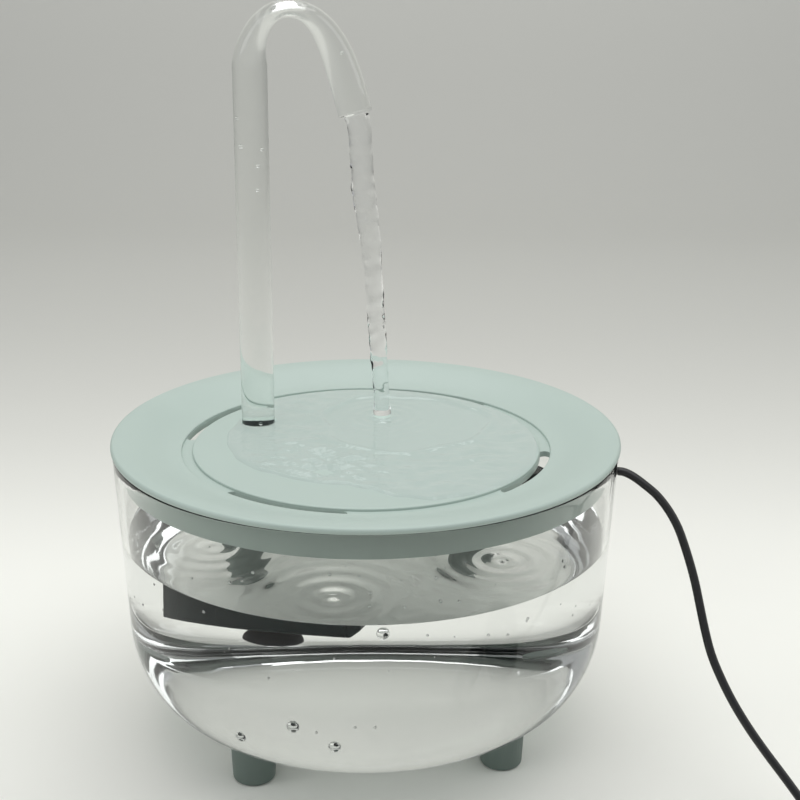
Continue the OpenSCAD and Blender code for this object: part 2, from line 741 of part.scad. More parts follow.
// Point on a cubic curve with four control points, and its direction
function curve(p, t) =
    pow(1 - t, 3) * p[0] + 3 * pow(1 - t, 2) * t * p[1] + 3 * (1 - t) * t * t * p[2] + pow(t, 3) * p[3];
function curve_way(p, t) =
    pow(1 - t, 2) * (p[1] - p[0]) + 2 * (1 - t) * t * (p[2] - p[1]) + t * t * (p[3] - p[2]);

// Fall of the arch from its crown to the outlet
outlet = [reach, crown_h - outlet_drop];
fall = [[crown_x, crown_h], [crown_x + rise_pull, crown_h],
        outlet + fall_pull * [-sin(outlet_lean), cos(outlet_lean)], outlet];
function rise_angle(i) = 90 * i / rise_steps;
function fall_share(i) = (i - rise_steps) / (arch_steps - rise_steps);

// Middle of the tube at step i, in the plane of the arch: an elliptic rise, then the fall
function arch_mid(i) = i < rise_steps
    ? [crown_x * (1 - cos(rise_angle(i))), crown_h * sin(rise_angle(i))]
    : curve(fall, fall_share(i));
function arch_way(i) = unit(i < rise_steps
    ? [crown_x * sin(rise_angle(i)), crown_h * cos(rise_angle(i))]
    : curve_way(fall, fall_share(i)));

// How far the bend has pressed the tube at step i, from 0 to 1 at the crown
function arch_pressed(i) = i < rise_steps ? sin(rise_angle(i)) : pow(cos(90 * fall_share(i)), 3);

// Ring of points around the tube at step i: pressed flat in the arch's plane, wider across it.
// Its edges stay just inside the end face of the round leg.
function arch_ring(i, thin) =
    let (a = tube_r * (1 - arch_press * arch_pressed(i)) - thin,
         b = tube_r * (1 + arch_spread * arch_pressed(i)) - thin,
         m = arch_mid(i), way = arch_way(i))
    [for (j = [0 : arch_sides - 1]) let (q = 360 * j / arch_sides)
        [m.x - a * cos(q) * way.y, b * sin(q), m.y + a * cos(q) * way.x]];

module spout_arch() {
    n = arch_sides;
    last = arch_steps;
    inner = (last + 1) * n;
    points = concat([for (i = [0 : last]) each arch_ring(i, arch_step)],
                    [for (i = [0 : last]) each arch_ring(i, arch_wall)]);
    outside = [for (i = [0 : last - 1], j = [0 : n - 1])
        each halves([i * n + j, i * n + (j + 1) % n, (i + 1) * n + (j + 1) % n, (i + 1) * n + j])];
    inside = [for (f = outside) [f[2] + inner, f[1] + inner, f[0] + inner]];
    start = [for (j = [0 : n - 1]) [j, j + inner, (j + 1) % n + inner, (j + 1) % n]];
    end = [for (f = start) [for (k = [3 : -1 : 0]) f[k] + last * n]];
    polyhedron(points = points, faces = concat(outside, inside, start, end), convexity = 6);
}

module spout_tube() {
    color(CLEAR) at_spout() {
        difference() {
            translate([0, 0, leg_foot_z]) cylinder(r = tube_r, h = leg_top_z - leg_foot_z);
            translate([0, 0, leg_foot_z - 1]) cylinder(r = tube_bore_r, h = leg_top_z - leg_foot_z + 2);
        }
        rotate([0, 0, arch_turn]) translate([0, 0, leg_top_z]) spout_arch();
    }
}

// ---------- cable outside ----------

module cord_tube() {
    color(RUBBER_BLACK) swept_cable(cord_points, cable_r, sides);
}

module cord_coil() {
    color(RUBBER_BLACK) translate([coil_pos.x, coil_pos.y, coil_low_z]) rotate_extrude()
        translate([coil_turn_r, (coil_top_z - coil_low_z) / 2])
            rounded_rect(coil_out_r - coil_in_r, coil_top_z - coil_low_z, cable_r);
}

module cord_tail() {
    color(RUBBER_BLACK) swept_cable(tail_points, cable_r, sides);
}

// Band around one side of the coil
module coil_tie() {
    near_r = sqrt(coil_in_r * coil_in_r - tie_w * tie_w / 4) - tie_gap;
    in_w = coil_out_r + tie_gap - near_r;
    in_h = coil_top_z - coil_low_z;
    color("#202224")
        translate([coil_pos.x, coil_pos.y + tie_w / 2, 0]) rotate([90, 0, 0]) linear_extrude(tie_w)
            translate([-near_r - in_w / 2, coil_low_z + in_h / 2]) difference() {
                square([in_w + 2 * tie_t, in_h + 2 * tie_t], center = true);
                square([in_w, in_h], center = true);
            }
}

module plug_bar(x0, x1, w, h, r) {
    translate([x0, plug_end.y, plug_z]) rotate([90, 0, 90]) linear_extrude(x1 - x0) rounded_rect(w, h, r);
}

plug_front_x = plug_end.x - relief_l - plug_l;

module usb_plug_body() {
    color(RUBBER_BLACK) {
        plug_bar(plug_front_x, plug_end.x - relief_l, plug_w, plug_t, 2.4);
        translate([plug_end.x - relief_l, plug_end.y, plug_z]) rotate([0, 90, 0])
            cylinder(r1 = 3.2, r2 = cable_r + 0.5, h = relief_l);
    }
}

module usb_plug_shell() {
    color("silver") difference() {
        plug_bar(plug_front_x - shell_l, plug_front_x, shell_w, shell_h, 0.6);
        plug_bar(plug_front_x - shell_l - 1, plug_front_x + 1,
                 shell_w - 2 * shell_t, shell_h - 2 * shell_t, 0.3);
    }
}

module usb_plug_tongue() {
    color("white") translate([0, 0, (shell_h - tongue_t) / 2 - shell_t])
        plug_bar(plug_front_x - shell_l + 1.5, plug_front_x, shell_w - 2 * shell_t - 1, tongue_t, 0.2);
}

bowl();
foot_front_left();
foot_front_right();
foot_back_left();
foot_back_right();
tray();
skirt_grommet();
pump_front_cover();
pump_housing();
pump_rear_cap();
pump_stator();
pump_seal();
pump_front_bush();
pump_rear_bush();
pump_shaft();
pump_suction_cup();
pump_gland();
pump_lead();
impeller();
rotor_magnet();
intake_cap();
flow_dial();
spout_bush();
spout_tube();
cord_tube();
cord_coil();
cord_tail();
coil_tie();
usb_plug_body();
usb_plug_shell();
usb_plug_tongue();
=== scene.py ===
import json
import math

import bmesh
import bpy
import numpy as np
from mathutils import Matrix, Vector, noise
from mathutils.geometry import delaunay_2d_cdt


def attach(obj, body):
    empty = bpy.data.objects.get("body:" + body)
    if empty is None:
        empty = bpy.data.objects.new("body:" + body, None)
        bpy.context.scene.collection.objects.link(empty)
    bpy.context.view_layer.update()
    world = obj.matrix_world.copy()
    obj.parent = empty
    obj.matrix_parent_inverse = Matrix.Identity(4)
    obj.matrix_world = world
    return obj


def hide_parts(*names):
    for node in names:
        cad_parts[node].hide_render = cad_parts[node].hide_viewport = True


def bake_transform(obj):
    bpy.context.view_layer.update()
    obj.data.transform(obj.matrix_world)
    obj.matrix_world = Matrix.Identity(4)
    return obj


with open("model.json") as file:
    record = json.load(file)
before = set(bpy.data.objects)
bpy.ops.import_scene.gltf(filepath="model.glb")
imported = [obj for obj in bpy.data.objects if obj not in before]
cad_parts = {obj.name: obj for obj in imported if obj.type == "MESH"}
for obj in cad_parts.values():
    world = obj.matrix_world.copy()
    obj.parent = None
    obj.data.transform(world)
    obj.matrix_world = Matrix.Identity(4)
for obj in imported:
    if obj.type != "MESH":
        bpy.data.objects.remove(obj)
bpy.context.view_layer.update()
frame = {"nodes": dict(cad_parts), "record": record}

# A pet water fountain: clear bowl on stub feet, drinking tray, gooseneck spout, pump and cable

MM = 0.001
SHARP = math.radians(40)
FLAT = math.radians(0.6)

# -------------------- sizes, as in the solids (mm)

FOOT_H = 16
RIM_Z = 121
BOWL_R = 99.5
BOWL_WALL = 2.5
BOWL_FLOOR = 3
BASE_R = 72.5
CORNER_H = 36
WALL_LOW_R = 96.05
WALL_TAPER = 0.05
RIM_ROUND = 0.7
CORNER_Z = FOOT_H + CORNER_H
FLOOR_Z = FOOT_H + BOWL_FLOOR
INNER_R = BOWL_R - BOWL_WALL
INNER_LOW_R = WALL_LOW_R - BOWL_WALL
EXIT_TURN = math.radians(-17)
EXIT_Z = 117.8
NOTCH_R = 2.3

TRAY_R = 100
TRAY_RIM_H = 2.4
TRAY_WALL = 2.2
CREST_R = 97
CREST_Z = RIM_Z + TRAY_RIM_H
LIP = 0.5
RIM_NOSE = 1.3
SEAT_CUT = 0.8
DISC_Z = RIM_Z - 3.2
UNDER_Z = DISC_Z - TRAY_WALL
DISC_DISH = 0.6
DISH_R = 38
CHANNEL_R = 72.8
CHANNEL_IN_R = 68.6
CHANNEL_Z = DISC_Z - 1
SLOT_W = 3.9
SLOT_MID_R = (CHANNEL_R + CHANNEL_IN_R) / 2
SLOT_HALF = math.radians(18.25)
SLOT_TURNS = [math.radians(66 + 90 * i) for i in range(4)]
SKIRT_R = 95.2
SKIRT_WALL = 2
SKIRT_IN_R = SKIRT_R - SKIRT_WALL
SKIRT_LOW_Z = RIM_Z - 10.3
RIB_COUNT = 8
RIB_W = 1.6
RIB_Z = 113.6
RIB_TOP_Z = 116.1
RIB_RING_W = 1.6
RIB_IN_R = 8
RIB_OUT_R = 64.6
CLIP_RINGS = (26, 58)
CLIP_W = 5
GROMMET_R = 3

SPOUT_AT = (51.3 * math.cos(math.radians(152)), 51.3 * math.sin(math.radians(152)))
TUBE_R = 6.75
TUBE_WALL = 1.5
SOCKET_R = 6.81
SOCKET_OUT_R = 9.41
SPIGOT_R = 8
SPIGOT_TOP_Z = 89
BOSS_LOW_Z = 78
LEG_FOOT_Z = 90
LEG_TOP_Z = 263
ARCH_TURN = math.radians(8)
ARCH_PRESS = 0.5
ARCH_SPREAD = 0.3
CROWN_X = 14.8
CROWN_H = 20.5
REACH = 40.6
OUTLET_DROP = 39.5
OUTLET_Z = LEG_TOP_Z + CROWN_H - OUTLET_DROP
OUTLET_LEAN = math.radians(14.5)
RISE_PULL = 14
FALL_PULL = 24

CABLE_R = 1.6
LEAD_Z = 111.4
WATER_Z = 86
MENISCUS_H = 0.45

# -------------------- camera

LENS = 65.25
CAMERA_AT = Vector((13.19, -543.04, 313.36)) * MM
CAMERA_PITCH = math.radians(18.09)
CAMERA_ROLL = math.radians(0.4)


def set_camera():
    camera_data = bpy.data.cameras.new("camera")
    camera_data.lens = LENS
    camera_data.clip_start = 0.02
    camera_data.clip_end = 30
    camera = bpy.data.objects.new("camera", camera_data)
    bpy.context.scene.collection.objects.link(camera)
    look = Matrix.Rotation(math.pi / 2 - CAMERA_PITCH, 4, "X") @ Matrix.Rotation(CAMERA_ROLL, 4, "Z")
    camera.matrix_world = Matrix.Translation(CAMERA_AT) @ look
    bpy.context.scene.camera = camera


set_camera()

# -------------------- shapes


def arc(cx, cz, a, b, start, end, n):
    """Points of an arc of an ellipse with half axes a and b, from one angle to another in degrees."""
    angles = [math.radians(start + (end - start) * i / n) for i in range(n + 1)]
    return [(cx + a * math.cos(t), cz + b * math.sin(t)) for t in angles]


def polar(r, a, *z):
    """The point at radius r and angle a, with its height if that is given."""
    return (r * math.cos(a), r * math.sin(a), *z)


def spaced(p, q, n):
    """n points on the way from p to q, p included and q not."""
    return [(p[0] + (q[0] - p[0]) * i / n, p[1] + (q[1] - p[1]) * i / n) for i in range(n)]


def smooth(t):
    """An even step from 0 to 1."""
    t = min(max(t, 0.0), 1.0)
    return t * t * (3 - 2 * t)


def swell(x, y, z):
    """Smooth noise between about -1 and 1."""
    return noise.noise(Vector((x, y, z)))


def put_in(name, data):
    """A new object of the scene with its mesh or lamp."""
    obj = bpy.data.objects.new(name, data)
    bpy.context.scene.collection.objects.link(obj)
    return obj


def smooth_out(bm, mesh, look):
    """Keeps bm as the mesh, shaded smooth but at its sharp edges, with its material."""
    for face in bm.faces:
        face.smooth = True
    bm.to_mesh(mesh)
    bm.free()
    mesh.set_sharp_from_angle(angle=SHARP)
    mesh.materials.append(LOOKS[look])


def new_piece(name, points, faces, look):
    """A smooth piece from points in mm and faces, with its normals outwards."""
    mesh = bpy.data.meshes.new(name)
    mesh.from_pydata([tuple(c * MM for c in p) for p in points], [], faces)
    mesh.validate()
    bm = bmesh.new()
    bm.from_mesh(mesh)
    bmesh.ops.remove_doubles(bm, verts=bm.verts, dist=1e-7)
    bmesh.ops.recalc_face_normals(bm, faces=bm.faces)
    smooth_out(bm, mesh, look)
    return put_in(name, mesh)


def paint(obj, look, chosen):
    """Gives a material to the faces that chosen picks by their middle in mm, normal and number."""
    obj.data.materials.append(LOOKS[look])
    index = len(obj.data.materials) - 1
    for face in obj.data.polygons:
        if chosen(face.center / MM, face.normal, face.index):
            face.material_index = index


def even_turns(steps, *fine):
    """Angles of a full turn in even steps, with more of them at each (middle, half width, step) in fine."""
    turns = {round(math.tau * i / steps, 7) for i in range(steps)}
    for middle, half, step in fine:
        n = round(2 * half / step)
        turns |= {round((middle - half + step * i) % math.tau, 7) for i in range(n + 1)}
    kept = []
    for turn in sorted(turns):
        if not kept or turn - kept[-1] > 1e-4:
            kept.append(turn)
    return kept


def lathe(profile, turns, centre=(0, 0), warp=None, strip=False):
    """Points and faces of a profile of (r, z) turned round Z, which closes on the axis where r is 0.
    turns is a number of steps or a list of angles. A strip keeps its two edges open."""
    turns = even_turns(turns) if isinstance(turns, int) else turns
    points, rows = [], []
    for r, z in profile:
        if r < 1e-6:
            rows.append([len(points)] * len(turns))
            points.append((centre[0], centre[1], z))
            continue
        rows.append(list(range(len(points), len(points) + len(turns))))
        for a in turns:
            p = (centre[0] + r * math.cos(a), centre[1] + r * math.sin(a), z)
            points.append(warp(p, a, r) if warp else p)
    loop = not strip and profile[0][0] > 1e-6 and profile[-1][0] > 1e-6
    faces = []
    for i in range(len(rows) - (0 if loop else 1)):
        low, high = rows[i], rows[(i + 1) % len(rows)]
        for j in range(len(turns)):
            k = (j + 1) % len(turns)
            corners = [low[j], low[k], high[k], high[j]]
            faces.append([c for n, c in enumerate(corners) if c not in corners[:n]])
    return points, [f for f in faces if len(f) > 2]


def joined(*patches):
    """One list of points and one of faces from several patches."""
    points, faces = [], []
    for more_points, more_faces in patches:
        start = len(points)
        points += more_points
        faces += [[start + i for i in f] for f in more_faces]
    return points, faces


def flat_ring(inner_r, outer_r, z, turns, hole_at, hole_r, hole_steps):
    """A flat ring round the middle, with a round hole through it."""
    hole = [math.tau * i / hole_steps for i in range(hole_steps)]
    loops = [[Vector(polar(r, a)) for a in turns] for r in (outer_r, inner_r)]
    loops.append([Vector(hole_at) + hole_r * Vector(polar(1, a)) for a in hole])
    edges, start = [], 0
    for loop in loops:
        edges += [(start + i, start + (i + 1) % len(loop)) for i in range(len(loop))]
        start += len(loop)
    flat, _, faces = delaunay_2d_cdt([p for loop in loops for p in loop], edges, [], 0, 1e-6)[:3]

    def in_gap(face):
        return (all(flat[i].length < inner_r + 0.01 for i in face)
                or all((flat[i] - Vector(hole_at)).length < hole_r + 0.01 for i in face))

    return [(p.x, p.y, z) for p in flat], [list(f) for f in faces if not in_gap(f)]


def skin(rings, loop=False):
    """Points and faces through rings of points. A loop joins the last ring to the first, or else
    both ends are closed."""
    n = len(rings[0])
    points = [p for ring in rings for p in ring]
    faces = []
    for i in range(len(rings) - (0 if loop else 1)):
        a, b = i * n, (i + 1) % len(rings) * n
        faces += [[a + j, a + (j + 1) % n, b + (j + 1) % n, b + j] for j in range(n)]
    if not loop:
        for start, ring in ((0, rings[0]), ((len(rings) - 1) * n, rings[-1])):
            middle = np.mean(np.array(ring), axis=0)
            points.append(tuple(middle))
            faces += [[start + j, start + (j + 1) % n, len(points) - 1] for j in range(n)]
    return points, faces


def rings_along(path, radius, sides):
    """Round rings square to a path, turned as little as possible from one to the next."""
    path = [Vector(p) for p in path]
    side = None
    rings = []
    for i, p in enumerate(path):
        ahead = (path[min(i + 1, len(path) - 1)] - path[max(i - 1, 0)]).normalized()
        if side is None:
            side = ahead.orthogonal().normalized()
        side = (side - ahead * side.dot(ahead)).normalized()
        up = ahead.cross(side)
        turn = [math.tau * j / sides for j in range(sides)]
        rings.append([tuple(p + (side * math.cos(t) + up * math.sin(t)) * radius) for t in turn])
    return rings


def through(points, step):
    """A smooth path through the points, with a point about every step mm."""
    pts = [Vector(p) for p in points]
    pts = [pts[0] * 2 - pts[1]] + pts + [pts[-1] * 2 - pts[-2]]
    path = []
    for a, b, c, d in zip(pts, pts[1:], pts[2:], pts[3:]):
        n = max(2, round((c - b).length / step))
        for i in range(n):
            t = i / n
            m1, m2 = (c - a) / 2, (d - b) / 2
            path.append(
                b * (2 * t**3 - 3 * t**2 + 1) + m1 * (t**3 - 2 * t**2 + t)
                + c * (3 * t**2 - 2 * t**3) + m2 * (t**3 - t**2)
            )
    return path + [pts[-2]]


def on_exit(r, z):
    """A point on the radius where the cable leaves."""
    return polar(r, EXIT_TURN, z)


# -------------------- materials

# Every material by its name
LOOKS = {}


def new_look(name):
    """The node tree and the output node of a new material, which is kept under its name."""
    mat = bpy.data.materials.new(name)
    mat.use_nodes = True
    mat.node_tree.nodes.clear()
    LOOKS[name] = mat
    return mat.node_tree, mat.node_tree.nodes.new("ShaderNodeOutputMaterial")


def add(tree, kind, **values):
    """A node with its values set: sockets by name, settings by attribute."""
    node = tree.nodes.new(kind)
    for key, value in values.items():
        if hasattr(node, key):
            setattr(node, key, value)
        else:
            node.inputs[key.replace("_", " ")].default_value = value
    return node


def wire(tree, *links):
    """Links nodes: each link says a node and its output, then a node and its input."""
    for source, given, target, taken in links:
        tree.links.new(source.outputs[given], target.inputs[taken])


def mould_group():
    """Fine moulded grain: tone, roughness and normal that change over the surface."""
    group = bpy.data.node_groups.new("moulded_grain", "ShaderNodeTree")
    face = group.interface
    for name, kind, value in (
        ("Colour", "Color", (0.5, 0.5, 0.5, 1)), ("Shift", "Float", 0.05), ("Grain Scale", "Float", 2500.0),
        ("Grain Depth", "Float", 0.05), ("Roughness", "Float", 0.4), ("Wear", "Float", 0.06),
    ):
        face.new_socket(name, in_out="INPUT", socket_type="NodeSocket" + kind).default_value = value
    for name, kind in (("Colour", "Color"), ("Roughness", "Float"), ("Normal", "Vector")):
        face.new_socket(name, in_out="OUTPUT", socket_type="NodeSocket" + kind)
    given, made = group.nodes.new("NodeGroupInput"), group.nodes.new("NodeGroupOutput")
    place = add(group, "ShaderNodeTexCoord")
    cloud = add(group, "ShaderNodeTexNoise", Scale=26.0, Detail=4.0)
    grain = add(group, "ShaderNodeTexNoise", Detail=3.0)
    centred = add(group, "ShaderNodeMath", operation="SUBTRACT")
    centred.inputs[1].default_value = 0.5
    shade = add(group, "ShaderNodeMath", operation="MULTIPLY_ADD")
    shade.inputs[2].default_value = 1.0
    tone = add(group, "ShaderNodeVectorMath", operation="SCALE")
    rough = add(group, "ShaderNodeMath", operation="MULTIPLY_ADD")
    bump = add(group, "ShaderNodeBump", Distance=0.0001)
    wire(group, (place, "Object", cloud, "Vector"), (cloud, "Fac", centred, 0),
         (centred, 0, shade, 0), (given, "Shift", shade, 1),
         (given, "Colour", tone, 0), (shade, 0, tone, "Scale"), (tone, 0, made, "Colour"),
         (centred, 0, rough, 0), (given, "Wear", rough, 1), (given, "Roughness", rough, 2),
         (rough, 0, made, "Roughness"),
         (place, "Object", grain, "Vector"), (given, "Grain Scale", grain, "Scale"),
         (given, "Grain Depth", bump, "Strength"), (grain, "Fac", bump, "Height"),
         (bump, "Normal", made, "Normal"))
    return group


MOULD = mould_group()


def moulded(name, colour, roughness, grain=0.05, grain_scale=2500.0, shift=0.08, wear=0.08, **shader):
    """Moulded plastic, rubber or ceramic."""
    tree, out = new_look(name)
    surface = add(tree, "ShaderNodeBsdfPrincipled", **shader)
    group = add(tree, "ShaderNodeGroup", node_tree=MOULD)
    for key, value in (("Colour", (*colour, 1)), ("Shift", shift), ("Grain Scale", grain_scale),
                       ("Grain Depth", grain), ("Roughness", roughness), ("Wear", wear)):
        group.inputs[key].default_value = value
    wire(tree, (group, "Colour", surface, "Base Color"), (group, "Roughness", surface, "Roughness"),
         (group, "Normal", surface, "Normal"), (surface, 0, out, "Surface"))


def clear(name, ior, roughness, tint, shadow, wave_scale=0.0, wave_depth=0.0, gloss=1.0):
    """Clear plastic or water. Light passes it for shadows, tinted a little."""
    tree, out = new_look(name)
    surface = add(tree, "ShaderNodeBsdfPrincipled", IOR=ior, Roughness=roughness)
    surface.inputs["Transmission Weight"].default_value = 1.0
    surface.inputs["Specular Tint"].default_value = (*[gloss] * 3, 1)
    surface.inputs["Base Color"].default_value = (*tint, 1)
    if wave_depth:
        place = add(tree, "ShaderNodeTexCoord")
        wave = add(tree, "ShaderNodeTexNoise", Scale=wave_scale, Detail=2.0)
        bump = add(tree, "ShaderNodeBump", Strength=wave_depth, Distance=0.001)
        wire(tree, (place, "Object", wave, "Vector"), (wave, "Fac", bump, "Height"),
             (bump, "Normal", surface, "Normal"))
    passed = add(tree, "ShaderNodeBsdfTransparent", Color=(*shadow, 1))
    light = add(tree, "ShaderNodeLightPath")
    mix = add(tree, "ShaderNodeMixShader")
    wire(tree, (light, "Is Shadow Ray", mix, 0), (surface, 0, mix, 1), (passed, 0, mix, 2),
         (mix, 0, out, "Surface"))


def unseen(name):
    """A face of water that plastic or more water holds, so nothing shows there."""
    tree, out = new_look(name)
    surface = add(tree, "ShaderNodeBsdfPrincipled", IOR=1.0, Alpha=0.0)
    wire(tree, (surface, 0, out, "Surface"))


def metal(name, colour, roughness):
    """Brushed metal."""
    tree, out = new_look(name)
    surface = add(tree, "ShaderNodeBsdfPrincipled", Metallic=1.0)
    surface.inputs["Base Color"].default_value = (*colour, 1)
    place = add(tree, "ShaderNodeTexCoord")
    brush = add(tree, "ShaderNodeTexNoise", Scale=900.0, Detail=2.0)
    spread = add(tree, "ShaderNodeMapRange", To_Min=roughness * 0.7, To_Max=roughness * 1.3)
    wire(tree, (place, "Object", brush, "Vector"), (brush, "Fac", spread, "Value"),
         (spread, 0, surface, "Roughness"), (surface, 0, out, "Surface"))


# Gloss of the pieces that water covers, which is weaker than in air
UNDER_WATER = {"Specular_IOR_Level": 0.1}

PLASTIC_IOR = 1.49
WATER_IOR = 1.333
# Each clear look: IOR, roughness, tint, tint of the light that passes, scale and depth of its waves
clear("clear_plastic", PLASTIC_IOR, 0.015, (0.93, 0.94, 0.93), (0.86, 0.88, 0.87), 60.0, 0.03, gloss=0.5)
clear("tube_plastic", PLASTIC_IOR, 0.01, (0.98, 0.985, 0.975), (0.9, 0.92, 0.91), 120.0, 0.05)
# Where plastic meets water it bends light by the share between the two
clear("wet_plastic", PLASTIC_IOR / WATER_IOR, 0.0, (0.99, 0.997, 0.994), (0.97, 0.98, 0.98))
unseen("held_water")
clear("water_clear", WATER_IOR, 0.0, (0.985, 0.995, 0.995), (0.96, 0.975, 0.975))
clear("stream_clear", WATER_IOR, 0.0, (0.99, 0.995, 0.995), (0.93, 0.95, 0.95), 220.0, 0.12)
clear("film_clear", WATER_IOR, 0.0, (0.77, 0.75, 0.77), (0.97, 0.98, 0.98), 160.0, 0.15)
clear("bead_clear", WATER_IOR, 0.0, (0.98, 0.99, 0.99), (0.9, 0.92, 0.92))
moulded("sage_plastic", (0.423, 0.512, 0.468), 0.42, grain=0.10, grain_scale=1400.0, shift=0.04)
# Painted shade: a dark colour for the ring of the tube that sits in its socket's shadow
moulded("gap_shade", (0.018, 0.026, 0.025), 0.5)
moulded("foot_plastic", (0.128, 0.167, 0.148), 0.45, grain=0.12)
moulded("pump_plastic", (0.005, 0.013, 0.013), 0.38, grain=0.2, grain_scale=1800.0, **UNDER_WATER)
moulded("potting", (0.015, 0.015, 0.017), 0.25)
moulded("black_rubber", (0.012, 0.012, 0.014), 0.55, grain=0.15, **UNDER_WATER)
moulded("seal_rubber", (0.22, 0.06, 0.03), 0.5)
moulded("cable_sheath", (0.011, 0.011, 0.012), 0.36, grain=0.12, grain_scale=3000.0)
moulded("ceramic_white", (0.82, 0.82, 0.80), 0.3)
moulded("impeller_plastic", (0.72, 0.74, 0.73), 0.35)
moulded("ferrite", (0.035, 0.033, 0.033), 0.5, grain=0.3, grain_scale=900.0)
moulded("soft_grey", (0.28, 0.31, 0.30), 0.5)
moulded("tie_plastic", (0.014, 0.014, 0.016), 0.5, grain=0.4, grain_scale=1200.0)
moulded("white_plastic", (0.8, 0.8, 0.79), 0.4)
metal("plug_steel", (0.75, 0.75, 0.76), 0.22)

for part in frame["record"]["subparts"]:
    solid = frame["nodes"][part["node"]]
    solid.data.materials.clear()
    solid.data.materials.append(LOOKS[part["material_slot"]])

# -------------------- cable outside

CORD_POINTS = [
    (95.9, -29.3, 117.8), (97.8, -29.9, 117.8), (100.3, -30.7, 117), (103, -31.9, 115.6),
    (106, -33.3, 113.6), (109.3, -34.8, 111.2), (112, -36.3, 108.5), (114.6, -38, 105.2),
    (117, -40, 101.3), (118.9, -42, 97.1), (121.6, -45.8, 89.2), (123.8, -49.5, 81.3),
    (125.5, -53.1, 73.3), (127.2, -56.9, 65.3), (129.3, -60.9, 57.5), (132.6, -65.2, 49.9),
    (136.7, -69.5, 42.4), (141.8, -74, 34.8), (147.8, -78.8, 27.2), (154.2, -84, 19.8),
    (160.2, -89.8, 12.8), (165.4, -96.4, 7), (169.4, -103.8, 3.2), (171.6, -112, 1.8),
    (172.2, -118, 1.9), (172.2, -124, 2.1),
]
TAIL_POINTS = [
    (150.4, -145.8, 11.7), (146.5, -145.8, 11.2), (143, -145.8, 9.5), (139.5, -145.8, 7.2),
    (136.5, -145.8, 5.2), (134, -145.8, 4.2),
]
COIL_POS = (150.4, -124)
COIL_TURN_R = 18.6
COIL_LOW_Z = 0.5
COIL_TURNS = 11.25
COIL_COLUMNS = [1, 0, -1, -1, 0, 1, 1, 0, -1, -1, 0, 1]
COIL_LAYERS = [0, 0, 0, 1, 1, 1, 2, 2, 2, 3, 3, 3]
COIL_EASE = 0.3


def coil_path():
    """Turns side by side in three columns and four layers, wound in and out, each eased into the next."""
    path = []
    steps = round(COIL_TURNS * 40)
    for i in range(1, steps):
        turn = COIL_TURNS * i / steps
        cell = min(int(turn), len(COIL_COLUMNS) - 1)
        after = min(cell + 1, len(COIL_COLUMNS) - 1)
        share = smooth((turn - cell - (1 - COIL_EASE)) / COIL_EASE)
        column = COIL_COLUMNS[cell] * (1 - share) + COIL_COLUMNS[after] * share
        layer = COIL_LAYERS[cell] * (1 - share) + COIL_LAYERS[after] * share
        r = COIL_TURN_R + 2 * CABLE_R * column
        a = -math.tau * turn
        z = COIL_LOW_Z + CABLE_R * (1 + 2 * layer)
        path.append(Vector((COIL_POS[0] + r * math.cos(a), COIL_POS[1] + r * math.sin(a), z)))
    return path


def make_cord():
    path = through(CORD_POINTS, 3)[:-1] + coil_path() + through(TAIL_POINTS, 2)
    cord = new_piece("power_cable", *skin(rings_along(path, CABLE_R, 14)), "cable_sheath")
    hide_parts("cord_tube", "cord_coil", "cord_tail")
    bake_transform(cord)


make_cord()

# -------------------- bowl and water


RIM_TURNS = even_turns(360, (EXIT_TURN, 0.035, 0.003))
NOTCH_EASE = 0.8
# Only the wall above this height is drawn down for the notch
NOTCH_FOOT_Z = EXIT_Z - NOTCH_R - 4


def rim_notch(p, a, r):
    """Lowers the rim round the cable notch."""
    off = abs(math.remainder(a - EXIT_TURN, math.tau)) * r
    if p[2] < NOTCH_FOOT_Z or off > NOTCH_R + NOTCH_EASE:
        return p
    depth = RIM_Z - EXIT_Z + math.sqrt(max(NOTCH_R**2 - min(off, NOTCH_R) ** 2, 0))
    share = smooth((NOTCH_R + NOTCH_EASE - off) / NOTCH_EASE)
    z = NOTCH_FOOT_Z + (p[2] - NOTCH_FOOT_Z) * (1 - share * depth / (RIM_Z - NOTCH_FOOT_Z))
    return (p[0], p[1], z)


def inner_radius(z):
    """Radius of the bowl's inner wall at height z."""
    if z >= CORNER_Z:
        return INNER_LOW_R + (INNER_R - INNER_LOW_R) * (z - CORNER_Z) / (RIM_Z - CORNER_Z)
    lift = (CORNER_Z - z) / (CORNER_H - BOWL_FLOOR)
    return BASE_R + (INNER_LOW_R - BASE_R) * math.sqrt(max(1 - lift * lift, 0))


